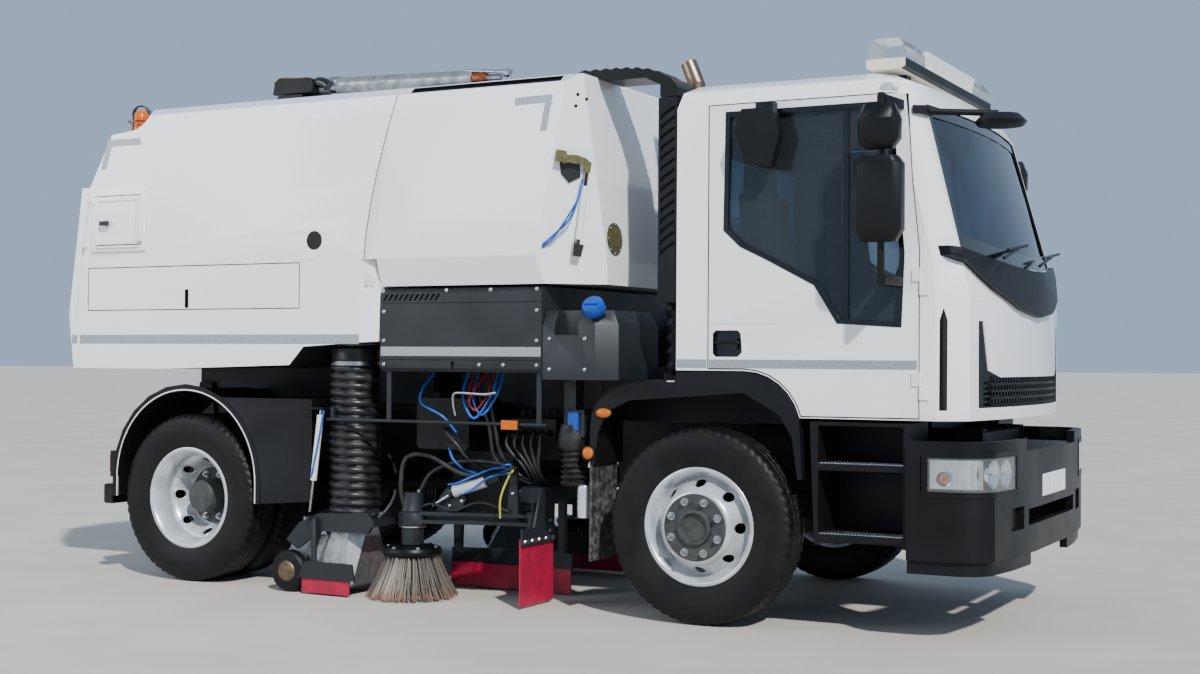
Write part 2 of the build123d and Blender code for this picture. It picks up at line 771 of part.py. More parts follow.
node("light_bar", light_bar())

# Air intake behind the cab: a louvred duct over bellows, its foot on the frame
duct_top_z = 2700
louvres = 14
louvre_pitch = 54


def air_intake():
    duct = block(1082, 1187, -1040, -800, 1640, duct_top_z)
    rings = 5
    pitch = (1640 - 1275) / rings
    bellows = [(0, 1270), (46, 1270)]
    for ring in range(rings):
        bellows += [(60, 1275 + pitch * (ring + 0.45)), (46, 1275 + pitch * (ring + 0.9))]
    bellows += [(46, 1645), (0, 1645)]
    duct += Pos(1135, -920, 0) * turned(bellows, 10)
    for slat in range(louvres):
        low = 1880 + louvre_pitch * slat
        duct -= side_plate([(1095, low), (1175, low + 50), (1175, low + 74), (1095, low + 24)], -1060, -1028)
    duct += block(1082, 1187, -960, -360, 1236, 1275)
    duct += block(1100, 1170, -425, -360, rail_top, 1236)
    return duct


node("air_intake", air_intake())
exhaust_x, exhaust_y, exhaust_radius = 1110, -620, 45
exhaust_pipe = rod_z(exhaust_x, exhaust_y, exhaust_radius, 1275, 2840, 12)
exhaust_end = rod((exhaust_x, exhaust_y, 2825), (exhaust_x - 50, exhaust_y, 2950), exhaust_radius, 12)
node("exhaust_stack", exhaust_pipe + exhaust_end)

# Sweeper engine enclosure: a closed housing with a louvred band under its lid
enclosure_half_width = 1200
enclosure_slots = 11


def engine_enclosure():
    """The housing on its plinth, with slanted louvres, panel seams and a latch slot each side."""
    w = enclosure_half_width
    half = [(w - 20, 1270), (w, 1290), (w, 1700), (w - 30, 1728)]
    section = half + [(-y, z) for y, z in half[::-1]]
    housing = cross_plate(section, -545, 485) + block(-500, 440, -430, 430, subframe_top, 1270)
    for side in (-1, 1):
        skin_y = sorted((side * (w - 14), side * (w + 10)))
        seam_y = sorted((side * (w - 5), side * (w + 10)))
        for slot in range(enclosure_slots):
            low = -525 + 34 * slot
            slit = [(low, 1662), (low + 10, 1662), (low + 34, 1694), (low + 24, 1694)]
            housing -= side_plate(slit, *skin_y)
        for seam_z in (1642, 1332):
            housing -= block(-545, 485, *seam_y, seam_z, seam_z + 6)
        housing -= block(-80, -56, *skin_y, 1282, 1326)
    return housing


node("engine_enclosure", engine_enclosure())


# Hydraulic gear under the enclosure: an oil tank and a valve bank on brackets from each rail
tank_outline = [
    (-500, 850), (-480, 830), (-170, 830), (-150, 850), (-150, 1100), (-170, 1120), (-480, 1120),
    (-500, 1100),
]
tank_straps = ((-460, -400), (-250, -190))
spools = 5
spool_pitch = 52


def hydraulic_gear():
    """The tank, and the valve bank's row of spools with their caps."""
    tank = side_plate(tank_outline, -900, -560)
    for strap_rear, strap_front in tank_straps:
        tank += block(strap_rear, strap_front, -560, -rail_outer_y, 850, 990)
    tank += rod_z(-420, -800, 42, 1120, 1150, 8)
    bank = block(40, 330, -760, -600, 900, 1010) + block(90, 280, -600, -rail_outer_y, 900, 950)
    for spool in range(spools):
        spool_x = 80 + spool_pitch * spool
        bank += rod_y(spool_x, 930, 19, -800, -760, 8)
        bank += rod_z(spool_x, -690, 16, 1010, 1052, 8)
    return [tank, bank]


node("hydraulic_gear", pair(*hydraulic_gear()))

# Filler boxes beside the enclosure, the right one with a capped neck
def filler_box():
    """A moulded tank with a drawn-in top and a notch where the filler neck stands."""
    foot = [(488, -1196), (800, -1196), (895, -1110), (895, -640), (488, -640)]
    top = [(488, -1150), (780, -1150), (850, -1080), (850, -640), (488, -640)]
    heights = ((1235, foot), (1520, foot), (1600, top))
    box = skin([[(x, y, z) for x, y in outline] for z, outline in heights])
    box -= block(560, 700, -1300, -1120, 1470, 1700)
    return box + block(488, 895, -640, -430, 1235, 1300)


neck_root = (790, -1100, 1540)
neck_end = (790, -1172, 1596)
cap_end = (790, -1226, 1638)
filler = filler_box()
cap_body = rod(neck_end, cap_end, 60, 10)
node("filler_boxes", filler + rod(neck_root, neck_end, 38, 10), left_of(filler))
node("filler_cap", cap_body)


# Suction tubes
def suction_tube():
    """A ribbed rubber tube, as one outline that runs in and out over its ribs."""
    low, high = 440, 1395
    pitch = (high - low) / tube_ribs
    outline = [(tube_radius - 20, low), (tube_radius - 20, high)]
    for rib in range(tube_ribs):
        top = high - rib * pitch
        outline += [(tube_radius - 8, top), (tube_radius + 6, top - 0.45 * pitch)]
    outline += [(tube_radius - 8, low)]
    return Pos(tube_x, tube_y, 0) * turned(outline, tube_sides)


node("suction_tubes", pair(suction_tube()))


# Suction nozzles
nozzle_mouth = (-905, -950)
nozzle_half = (145, 230)


def nozzle():
    """A steel hood from a long mouth up to the round neck under the tube."""

    def hood_form(inset):
        mouth_x, mouth_y = nozzle_mouth
        mouth = cut_rectangle(nozzle_half[0] - inset, nozzle_half[1] - inset, 30)
        rings = [[(mouth_x + u, mouth_y + v, 60 - inset * 2) for u, v in mouth]]
        for neck_z in (380, 440 + inset):
            circle = arc_points((tube_x, tube_y), tube_radius - 4 - inset, 22.5, 337.5, 7)
            rings.append([(x, y, neck_z) for x, y in circle])
        return skin(rings)

    hood = hood_form(0) - hood_form(12)
    bracket = side_plate([(-1225, 96), (-1165, 96), (-960, 230), (-960, 330), (-1060, 330)], -1100, -1080)
    hood += bracket - hood_form(6)
    return hood + rod_y(trail_wheel_x, trail_wheel_radius, 15, -1190, -1080)


node("suction_nozzles", pair(nozzle()))


def trail_wheel():
    """A solid-tyred wheel with a bronze hub face."""
    outline = [
        (0, -1196), (52, -1196), (60, -1186), (104, -1188), (trail_wheel_radius, -1172),
        (trail_wheel_radius, -1128), (104, -1112), (0, -1112),
    ]
    wheel = turned_y(trail_wheel_x, trail_wheel_radius, outline, 14)
    return wheel - rod_y(trail_wheel_x, trail_wheel_radius, 15 + pin_fit, -1191, -1050)


sided_nodes("nozzle_wheel", trail_wheel())

# Crimson rubber: the flap ahead of the sweep gear, the strip along it and the nozzle's skirt
flap_x = 299
strip_y = -508
flap_thickness = 8
transverse = block(flap_x, flap_x + flap_thickness, -1100, -740, 12, 375)
lengthwise = block(-515, 290, strip_y, strip_y + flap_thickness, 12, 150)
nozzle_skirt = block(-1075, -745, -1200, -1190, 10, 92)
node("rubber_skirts", pair(transverse, lengthwise, nozzle_skirt))


# Sweep gear frame
def sweep_carrier():
    """The carriers that hang the broom arm, the rubber flaps and the nozzle from the rail."""
    clamp_x = flap_x + flap_thickness
    clamp_front = clamp_x + 13
    inner_y = rail_flange - rail_outer_y
    rail_y = strip_y + flap_thickness
    beam_plan = [(190, inner_y), (clamp_front, inner_y), (clamp_front, -900), (280, -960), (190, -900)]
    beam = plan_plate(beam_plan, 560, 640)
    hanger = cross_plate([(-rail_outer_y, 760), (inner_y, 760), (inner_y, 600), (-470, 600)], 200, 300)
    clamp = block(clamp_x, clamp_front, -1100, -740, 340, 430)
    drop = cross_plate([(-900, 640), (-740, 640), (-760, 340), (-1000, 340)], clamp_x, clamp_front)
    pin = rod_z(arm_pivot_x, arm_pivot_y, 25, 350, 562)
    rail_outline = [(-515, 110), (240, 110), (290, 140), (290, 230), (200, 250), (-515, 230)]
    rail = side_plate(rail_outline, rail_y, rail_y + 20)
    front_post = block(200, 240, rail_y, -460, 230, 560)
    rear_post = side_plate([(-500, 230), (-460, 230), (-440, 780), (-520, 780)], rail_y, -460)
    rear_foot = block(-520, -440, rail_y, -rail_outer_y, 720, 780)
    return beam + hanger + clamp + drop + pin + rail + front_post + rear_post + rear_foot


def nozzle_carrier():
    """The arm over the nozzle's neck with the strut's eye, and the bumper plate by the mouth."""
    arm_outline = [
        (-1210, 300), (-1130, 250), (-960, 360), (-640, 360), (-600, 420), (-640, 470), (-980, 460),
        (-1120, 400),
    ]
    arm = side_plate(arm_outline, -1172, -1150)
    arm += rod_y(*strut_foot, 14, -1200, -1160, 8)
    plate = side_plate([(-1090, 95), (-700, 95), (-720, 190), (-1040, 190)], -1212, -1200)
    tie_outline = [(-1200, 130), (-1184, 130), (-1184, 260), (-1150, 330), (-1150, 430), (-1200, 430)]
    tie = cross_plate(tie_outline, -1010, -980)
    hanger = plan_plate([(-640, -1172), (-600, -1172), (-600, -508), (-640, -508)], 400, 440)
    return arm + plate + tie + hanger


node("sweep_frame", pair(sweep_carrier(), nozzle_carrier()))


# Lifting struts: a bright cylinder from the mudguard panel down to each nozzle arm
def lift_strut():
    foot = Vector(strut_foot[0], strut_y, strut_foot[1])
    head = Vector(strut_head[0], strut_y, strut_head[1])
    along = head - foot
    strut = rod(tuple(foot + along * 0.06), tuple(foot + along * 0.998), 8, 8)
    return strut + rod(tuple(foot + along * 0.35), tuple(foot + along * 0.95), 19, 10)


node("lift_struts", pair(lift_strut()))


# Side broom arms and brooms
def broom_arm():
    """The swinging arm: a boss, a cranked plate pair and the broom motor's housing."""
    arm = rod_z(arm_pivot_x, arm_pivot_y, 50, 400, 500, 10)
    flat = [
        (arm_pivot_x, arm_pivot_y - 44), (arm_pivot_x, arm_pivot_y + 44), (-120, -850), (-250, -880),
        (broom_x, -945), (broom_x, -1055), (-250, -985), (-120, -940),
    ]
    arm += plan_plate(flat, 420, 440) + plan_plate(flat, 466, 486)
    arm += plan_plate([(140, -850), (140, -835), (-380, -955), (-380, -985)], 440, 466)
    tower = [(-330, 486), (-180, 486), (-130, 560), (-170, 640), (-260, 620), (-310, 560)]
    arm += side_plate(tower, -955, -940)
    arm += rod((-235, -962, 590), (60, -905, 690), 30, 8)
    arm += rod((40, -908, 684), (130, -880, 714), 12, 6)
    arm += side_plate([(90, 486), (160, 486), (150, 735), (110, 735)], -880, -862)
    motor = [(0, 300), (66, 300), (66, 400), (84, 410), (84, 480), (66, 490), (60, 590), (0, 590)]
    arm += Pos(broom_x, broom_y, 0) * turned(motor, 10)
    arm -= rod_z(arm_pivot_x, arm_pivot_y, 25 + pin_fit, 300, 600)
    return arm - rod_z(broom_x, broom_y, 20 + pin_fit, 290, 400)


def broom():
    """A dished head with grouped bristles that lean outwards."""
    head_outline = [(0, 240), (150, 240), (166, 262), (140, 288), (0, 288)]
    head = Pos(broom_x, broom_y, 0) * turned(head_outline, 12) + rod_z(broom_x, broom_y, 20, 286, 390)
    tuft = side_plate([(105, 250), (152, 250), (272, 8), (212, 8)], -14, 14)
    for index in range(broom_tufts):
        head += Pos(broom_x, broom_y, 0) * Rot(0, 0, 360 * index / broom_tufts) * tuft
    return head


sided_nodes("broom_arm", broom_arm())
sided_nodes("broom", broom())

# Rear mudguards
arch_centre_z = 610
rear_arch_radius = 530
rear_arch_steps = 12
side_panel_x = -1042


def rear_arch(radius):
    bow = arc_points((rear_axle_x, arch_centre_z), radius, 180, 0, rear_arch_steps)
    return [(rear_axle_x - radius, 490), *bow, (rear_axle_x + radius, 490)]


def rear_mudguard():
    """A rolled arch with an outer rim, and the plain side panel ahead of it."""
    front_x = rear_axle_x + rear_arch_radius
    bore = side_plate(rear_arch(rear_arch_radius), -1300, -500)
    guard = side_plate(rear_arch(rear_arch_radius + 14), -1165, -590)
    guard += side_plate(rear_arch(rear_arch_radius + 40), -1165, -1150)
    guard -= bore
    panel = [
        (front_x + 12, 490), (side_panel_x, 520), (side_panel_x, 1105), (front_x - 250, 1105),
        (front_x - 60, 900),
    ]
    guard += side_plate(panel, -1160, -1130) - bore
    guard += block(front_x, side_panel_x, -1130, -700, 1075, 1105)
    guard += block(-1062, -930, -1205, -1130, 1050, 1062)
    guard += rod_y(front_x + 35, 900, 18, -1135, -rail_outer_y, 10)
    guard += block(rear_axle_x - 20, rear_axle_x + 20, -600, -rail_outer_y, 1110, 1142)
    guard += block(rear_axle_x - 20, rear_axle_x + 20, -rail_outer_y - 16, -rail_outer_y, 1010, 1142)
    return guard


node("rear_mudguards", pair(rear_mudguard()))


# Rear underrun beam and lamps
def rear_bumper():
    """The underrun beam on two hangers, with the lamp boards over it."""
    beam_section = [(-2640, 450), (-2630, 440), (-2570, 440), (-2570, 560), (-2630, 560), (-2640, 550)]
    hanger = [(-2625, 560), (-2590, 560), (-2590, rail_bottom), (-2620, rail_bottom)]
    beam = side_plate(beam_section, -1150, 1150)
    for side in (-1, 1):
        beam += side_plate(hanger, side * rail_middle_y - 40, side * rail_middle_y + 40)
        beam += block(-2640, -2600, side * 900 - 200, side * 900 + 200, 600, 760)
        beam += block(-2630, -2600, side * 600 - 250, side * 600 + 250, 640, 700)
    return beam


node("rear_bumper", rear_bumper())
lamp_section = [(-2640, 620), (-2640, 740), (-2658, 740), (-2665, 730), (-2665, 630), (-2658, 620)]
node("rear_lamps", pair(side_plate(lamp_section, -1080, -720)))

# Hopper side outline and the same drawn in by the wall: x, z
hopper_outline = [
    (-2790, 1600), (-2750, 1270), (-2105, 1270), (-1145, 1300), (-1045, 1405), (-562, 1435), (-552, 1740),
    (760, 1740), (765, 1890), (715, 2900), (-2215, 2900), (-2215, 2780), (-2265, 2740), (-2325, 2710),
    (-2515, 2690), (-2690, 2380),
]
hopper_inner_outline = [
    (-2900, 1600), (-2900, 1310), (-2105, 1310), (-1145, 1340), (-1060, 1445), (-602, 1475), (-592, 1780),
    (720, 1780), (725, 1890), (675, 2900), (-2190, 2900), (-2190, 2740), (-2265, 2700), (-2325, 2670),
    (-2495, 2650), (-2650, 2380), (-2900, 2380),
]
# hatch opening: x0, x1, z0, z1
hatch_hole = (-2635, -2265, 2015, 2320)
# eyes of the rear door hinge: y0, y1
door_eyes = [(-900, -780), (-60, 60), (780, 900)]


def corner_face(inset):
    """The plane of the right front corner: x runs up the side's edge, y across to the front."""
    foot = Vector(465, -hopper_half_width, hopper_skirt_z)
    up = Vector(180, 0, 910)
    inward = up.cross(Vector(300, 240, 0)).normalized()
    return Plane(origin=foot + inward * inset, x_dir=up, z_dir=inward)


def hopper_body(outline, inset):
    """The hopper's side outline, chamfered along the roof, with slanted front corners."""
    w = hopper_half_width - inset
    roof = hopper_roof_z - inset
    shoulder = hopper_side_top - inset / 2
    section = [
        (-w, 1200), (w, 1200), (w, shoulder), (w - hopper_chamfer + inset / 2, roof),
        (hopper_chamfer - inset / 2 - w, roof), (-w, shoulder),
    ]
    body = side_plate(outline, -w, w) & cross_plate(section, -3000, 1000)
    for turn in range(2):
        body = left_of(split(body, bisect_by=corner_face(inset), keep=Keep.TOP))
    return body


def shut_line():
    """The bowed gap between the hopper's front and rear panels, as a thin band."""
    rear_edge = []
    for step in range(7):
        share = step / 6
        rear_edge.append((-635 + 220 * share**1.5, hopper_skirt_z + 900 * share))
    return rear_edge + [(x + 6, z) for x, z in rear_edge[::-1]]


def frame_outline(x0, x1, z0, z1, width, y0, y1):
    """A rectangular groove's cutter."""
    outer = block(x0, x1, y0, y1, z0, z1)
    return outer - block(x0 + width, x1 - width, y0 - 1, y1 + 1, z0 + width, z1 - width)


def hopper_grooves(side):
    """What is cut into one side: panel gaps, the latch slot, the vent and the roof slot."""
    w = hopper_half_width
    shallow = sorted((side * (w - 4), side * (w + 20)))
    deep = sorted((side * (w - 14), side * (w + 20)))
    past = side * past_side
    skirt = [(side * 1190, 1740), (side * w, hopper_skirt_z), (past, hopper_skirt_z), (past, 1700)]
    step = [(-655, side * w), (-545, side * 1185), (-545, past), (-655, past)]
    cuts = [
        side_plate(shut_line(), *shallow),
        frame_outline(-2700, -1075, 1620, 1884, 6, *shallow),
        block(-1925, -1897, *deep, 1632, 1742),
        rod_y(-975, 2005, 55, *deep, 12),
        cross_plate(skirt, -655, 900),
        plan_plate(step, 1200, hopper_skirt_z),
    ]
    slot = [(side * 1243, 2800), (side * 1204, 2833), (side * 1188, 2815), (side * 1224, 2784)]
    cuts.append(cross_plate(slot, -330, 610))
    return cuts


def hopper_shell():
    """The hollow tipping body with its tube bores, hatch frame, hinge lugs and runners."""
    shell = hopper_body(hopper_outline, 0) - hopper_body(hopper_inner_outline, hopper_wall)
    for side in (-1, 1):
        for cut in hopper_grooves(side):
            shell -= cut
        shell -= rod_z(tube_x, side * tube_y, 128, 1300, 1500, 12)
    x0, x1, z0, z1 = hatch_hole
    shell += block(x0 - 34, x1 + 34, -1254, -1238, z0 - 34, z1 + 34)
    shell -= block(x0, x1, -1300, -1150, z0, z1)
    shell -= block(x0 + 10, x1 - 10, -1300, -1238, z0 - 26, z0 - 12)
    hinge_lug = [(-2728, 2384), (-2728, 2406), (-2650, 2450), (-2686, 2384)]
    for eye_y0, eye_y1 in door_eyes:
        for lug_y in (eye_y0 - 18, eye_y1 + 6):
            shell += side_plate(hinge_lug, lug_y, lug_y + 12)
        shell += rod_y(*rear_hinge, rear_hinge_radius, eye_y0 - 18, eye_y1 + 18)
    for side in (-1, 1):
        runner_y = side * rail_middle_y
        runner = block(tip_pivot[0], -700, runner_y - 33, runner_y + 33, subframe_top + 6, 1275)
        runner += block(tip_pivot[0] - 62, -2300, runner_y - 33, runner_y + 33, tip_pivot[1], 1275)
        runner += rod_y(*tip_pivot, 62, runner_y - 33, runner_y + 33, 14)
        shell += runner - rod_y(*tip_pivot, tip_pin_radius + pin_fit, -600, 600)
        ram_lug = [(-1590, 1290), (-1410, 1290), (-1460, 1140), (-1540, 1140)]
        shell += side_plate(ram_lug, side * 55 - 10, side * 55 + 10)
    return shell


node("hopper_shell", hopper_shell())


# Rear door
def rear_door():
    """The full-width tail door, hung from three eyes and bowed outwards at its middle."""
    panel = [(-2696, 2376), (-2796, 1600), (-2757, 1274), (-2815, 1270), (-2855, 1600), (-2755, 2376)]
    rib = [(-2755, 2340), (-2855, 1600), (-2820, 1300), (-2838, 1300), (-2877, 1600), (-2775, 2340)]
    door = side_plate(panel, -hopper_half_width, hopper_half_width)
    for rib_y in (-1150, 0, 1150):
        door += side_plate(rib, rib_y - 25, rib_y + 25)
    for eye_y0, eye_y1 in door_eyes:
        door += rod_y(*rear_hinge, 14, eye_y0, eye_y1, 8)
        door += side_plate([(-2726, 2370), (-2726, 2392), (-2708, 2392), (-2704, 2370)], eye_y0, eye_y1)
        door -= rod_y(*rear_hinge, rear_hinge_radius + pin_fit, eye_y0 - 40, eye_y1 + 40)
    return door


node("rear_door", rear_door())


# Side hatch
def side_hatch():
    """A pressed lid with a raised rim, its hinge bar and the turn handle."""
    x0, x1, z0, z1 = hatch_hole
    lid = block(x0 + 6, x1 - 6, -1258, -1206, z0 + 6, z1 - 6)
    lid -= block(x0 + 34, x1 - 34, -1300, -1250, z0 + 34, z1 - 34)
    lid += block(x1 - 30, x1 + 10, -1268, -1256, z0 + 20, z1 - 20)
    lid += rod_z(x1 + 10, -1264, 9, z0 + 20, z1 - 20)
    lid += rod_y(x0 + 95, 2150, 14, -1272, -1248, 8)
    return lid + block(x0 + 60, x0 + 130, -1282, -1268, 2136, 2164)


node("side_hatch", side_hatch())


# Fittings on the hopper's sides: the latches, vents, grab rail and beacon cage
def corner_plate(points, stand_off, thickness):
    """A plate standing off the slanted corner, its outline in the corner's own plane."""
    face = make_face(Polyline(*points, close=True))
    return corner_face(-stand_off) * extrude(face, -thickness)


def corner_bar(start, end, stand_off, radius, sides):
    local = rod((*start, -stand_off), (*end, -stand_off), radius, sides)
    return corner_face(0) * local


def latch_gear():
    """The curved pivot arm, its bracket and cover plate, and the slim actuator under it."""
    arm = arc_points((400, 120), 150, 35, -35, 4) + arc_points((400, 120), 112, -35, 35, 4)
    bracket = corner_plate([(500, 12), (560, 12), (560, 60), (530, 76), (500, 60)], 0, 44)
    cover = corner_plate([(440, 60), (505, 40), (505, 150), (440, 165), (400, 110)], 0, 8)
    lower = corner_plate([(30, 190), (95, 185), (95, 240), (30, 235)], 0, 46)
    upright = corner_plate([(470, 175), (520, 175), (520, 205), (470, 205)], 0, 40)
    latch = bracket + cover + lower + upright + corner_plate(arm, 24, 16)
    latch += corner_bar((70, 212), (495, 190), 32, 9, 6)
    return latch + corner_bar((120, 209), (400, 195), 32, 18, 8)


def grab_rail():
    """A bent tube beside the hatch."""
    rail = rod((-2713, -1272, 2010), (-2677, -1272, 2300), 9, 8)
    for x, z in ((-2711, 2018), (-2678, 2292)):
        rail += rod_y(x, z, 9, -1276, -hopper_half_width, 8)
    return rail


beacon_x, beacon_y = -2390, -1120


def cage_hoop(turn):
    """A flat hoop over the beacon, its feet on the shelf."""
    outer = [(-82, 2690), (-82, 2800)] + arc_points((0, 2800), 82, 150, 30, 4) + [(82, 2800), (82, 2690)]
    inner = [(74, 2690), (74, 2800)] + arc_points((0, 2800), 74, 30, 150, 4) + [(-74, 2800), (-74, 2690)]
    return Pos(beacon_x, beacon_y, 0) * Rot(0, 0, turn) * side_plate(outer + inner, -5, 5)


cage = cage_hoop(0) + cage_hoop(90)
cage += Pos(beacon_x, beacon_y, 0) * turned([(74, 2770), (84, 2770), (84, 2778), (74, 2778)], 12)
vent = rod_y(-975, 2005, 50, -1238, -1226, 12)
hopper_mass = hopper_body(hopper_outline, 0)
node("hopper_fittings", pair(latch_gear() - hopper_mass, vent), grab_rail(), cage - hopper_mass)

# Roof fittings: the boom's pedestal and rest, and the air trunk over the hopper's front edge
boom_y = -120
boom_pivot_x = -1930
boom_z = 3010
swivel_radius = 40
trunk_ribs = 9


def boom_pedestal():
    """A tapered box under the boom's swivel with its hose outlet, and the wedge ahead of it."""
    roof = hopper_roof_z
    y0, y1 = boom_y - 110, boom_y + 110
    box = side_plate([(-2110, roof), (-2085, 3010), (-2050, 3045), (-1865, 3045), (-1840, roof)], y0, y1)
    box += rod_z(-1740, boom_y, 78, roof, 3000, 12)
    box += block(-1850, -1740, boom_y - 40, boom_y + 40, 2900, 2960)
    box -= rod_z(boom_pivot_x, boom_y, swivel_radius, 3025, 3050)
    wedge = side_plate([(-1060, roof), (-900, 2955), (-330, 2955), (-235, 2890), (-150, roof)], y0, y1)
    return [box, wedge]


def roof_trunk():
    """A flat ribbed trunk from just above the duct, bent back over the hopper's front edge."""
    foot_z = duct_top_z + 6
    under = [(590, hopper_roof_z), (716, hopper_roof_z), (760, 2812), (1000, 2812), (1086, 2770)]
    under += [(1086, foot_z), (1187, foot_z)]
    over = [(1187, 2750)]
    for step in range(2 * trunk_ribs + 1):
        share = step / (2 * trunk_ribs)
        crest = 10 if step % 2 else 0
        x = 1170 - 560 * share
        over.append((x, 2870 - 95 * (1 - share) ** 5 + crest))
    return side_plate(under + over, -1030, -810)


trunk = roof_trunk() - hopper_mass
node("roof_fittings", boom_pedestal(), trunk, left_of(trunk))


# The boom itself, on a swivel over the pedestal
def roof_boom():
    """A tapered grey tube with its swivel plate, end fitting and stay rods."""
    boom = rod_z(boom_pivot_x, boom_y, 70, 3047, 3075)
    start, end = (boom_pivot_x, boom_y, boom_z + 100), (-620, boom_y, boom_z + 60)
    boom += rod(start, end, 52, 12)
    boom += rod((boom_pivot_x - 60, boom_y, boom_z + 100), start, 60, 12)
    boom += rod_z(boom_pivot_x, boom_y, swivel_radius - pin_fit, 3026, 3050)
    return boom + rod((-640, boom_y, boom_z + 62), (-430, boom_y, boom_z + 55), 20, 8)


node("roof_boom", roof_boom())

# Beacon on its shelf in the rear corner
beacon_outline = [(0, 2690), (56, 2690), (56, 2742), (50, 2742), (50, 2810), (34, 2845), (0, 2850)]
beacon = Pos(beacon_x, beacon_y, 0) * turned(beacon_outline, 16)
node("beacon", beacon - hopper_mass)


# Hopper ram
def ram_place(shape):
    """Stand a piece made along Z on the ram's foot, leaning to its head."""
    tilt = math.degrees(math.atan2(ram_head[1] - ram_foot[1], ram_foot[0] - ram_head[0]))
    return Pos(ram_foot[0], 0, ram_foot[1]) * Rot(0, tilt - 90, 0) * shape


ram_length = math.hypot(ram_head[0] - ram_foot[0], ram_head[1] - ram_foot[1])
barrel = rod_z(0, 0, 75, 100, 1000, 14) + rod_z(0, 0, 36, 0, 120, 8)
barrel -= rod_z(0, 0, ram_rod_radius + pin_fit, 150, 1050)
barrel += rod_y(0, 0, 50, -40, 40, 10)
barrel -= rod_y(0, 0, ram_pin_radius + pin_fit, -100, 100)
piston_rod = rod_z(0, 0, ram_rod_radius, 170, 1100) + rod_y(0, ram_length, 50, -35, 35, 10)
node("ram_barrel", ram_place(barrel))
node("ram_rod", ram_place(piston_rod))

os.makedirs("parts", exist_ok=True)
for name, solids in nodes.items():
    export_step(Compound(children=solids), f"parts/{name}.step")
print(len(nodes), "nodes")
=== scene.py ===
# %% [markdown]
# # A street sweeper truck
# The truck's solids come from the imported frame. This lesson gives them their finishes, and
# adds what a solid model leaves plain: tyre treads, pressed wheel discs, wire brooms, ribbed
# hoses, lamps, tape and bolts. Every new piece is a surface computed with numpy.

# %% Load the frame
import json
import math

import bmesh
import bpy
import numpy as np
from mathutils import Matrix


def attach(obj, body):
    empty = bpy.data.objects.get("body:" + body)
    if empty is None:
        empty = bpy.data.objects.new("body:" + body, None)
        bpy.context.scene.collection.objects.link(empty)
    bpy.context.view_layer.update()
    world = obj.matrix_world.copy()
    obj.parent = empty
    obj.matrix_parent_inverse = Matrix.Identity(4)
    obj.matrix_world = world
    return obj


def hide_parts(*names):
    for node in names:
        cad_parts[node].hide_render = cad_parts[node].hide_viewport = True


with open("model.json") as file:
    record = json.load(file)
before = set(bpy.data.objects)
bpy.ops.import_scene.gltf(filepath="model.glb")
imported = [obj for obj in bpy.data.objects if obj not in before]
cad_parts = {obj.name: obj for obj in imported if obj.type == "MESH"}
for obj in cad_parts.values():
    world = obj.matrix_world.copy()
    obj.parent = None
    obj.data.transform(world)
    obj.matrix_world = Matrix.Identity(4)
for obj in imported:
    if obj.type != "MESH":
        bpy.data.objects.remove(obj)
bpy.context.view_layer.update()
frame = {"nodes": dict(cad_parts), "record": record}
bodies = frame["record"]["behaviour"]["bodies"]
body_of = {node: body for body, nodes in bodies.items() for node in nodes}

# %% [markdown]
# ## The camera
# The photograph was taken standing to the right of the cab, at chest height, with a normal
# lens. The camera's three axes are worked out from its yaw, pitch and roll, which is plainer
# to check against a measured view than aiming at a target.

# %% The camera
eye = np.array([4.753, -8.652, 1.347])
yaw, pitch, roll = np.radians([27.75, 0.76, 0.36])
lens_mm, sensor_mm, far_clip = 49.03, 36.0, 200.0


def put(name, data):
    """A new object in the scene that shows this data."""
    item = bpy.data.objects.new(name, data)
    bpy.context.scene.collection.objects.link(item)
    return item


def standing(axes, origin):
    """A 4 x 4 matrix whose columns are three axes and an origin."""
    return Matrix(np.vstack([np.column_stack([*axes, origin]), [0, 0, 0, 1]]).tolist())


def camera_axes():
    """Right, up and look vectors: yaw turns from +Y towards -X, then the view rolls."""
    right = np.array([math.cos(yaw), math.sin(yaw), 0.0])
    level = math.cos(pitch)
    look = np.array([-math.sin(yaw) * level, math.cos(yaw) * level, math.sin(pitch)])
    up = np.cross(right, look)
    rolled_right = right * math.cos(roll) + up * math.sin(roll)
    rolled_up = up * math.cos(roll) - right * math.sin(roll)
    return rolled_right, rolled_up, look


def photo_camera():
    """The photograph's camera, whose own minus z looks along the view."""
    right, up, look = camera_axes()
    data = bpy.data.cameras.new("photo_camera")
    data.lens = lens_mm
    data.sensor_width = sensor_mm
    data.clip_end = far_clip
    camera = put("photo_camera", data)
    camera.matrix_world = standing([right, up, -look], eye)
    bpy.context.scene.camera = camera


photo_camera()
print("camera at", eye.tolist(), "m with a lens of", lens_mm, "mm")

# %% [markdown]
# ## Colours and nodes
# Finishes are written as sRGB hex values, the way a paint chart gives them, and one function
# turns them to the linear values that the shader wants. One more function adds a node.


# %% Colours and nodes
def linear(code):
    """An sRGB hex colour as linear red, green, blue and alpha."""
    channels = np.array([int(code[k:k + 2], 16) / 255 for k in (1, 3, 5)])
    low, high = channels / 12.92, ((channels + 0.055) / 1.055) ** 2.4
    return [*np.where(channels <= 0.04045, low, high).tolist(), 1.0]


def add_node(tree, kind, sockets=None, **settings):
    """Adds one node; sockets gives values, or the output sockets that feed them."""
    node = tree.nodes.new(kind)
    for key, value in settings.items():
        setattr(node, key, value)
    for key, value in (sockets or {}).items():
        if isinstance(value, bpy.types.NodeSocket):
            tree.links.new(value, node.inputs[key])
        else:
            node.inputs[key].default_value = value
    return node


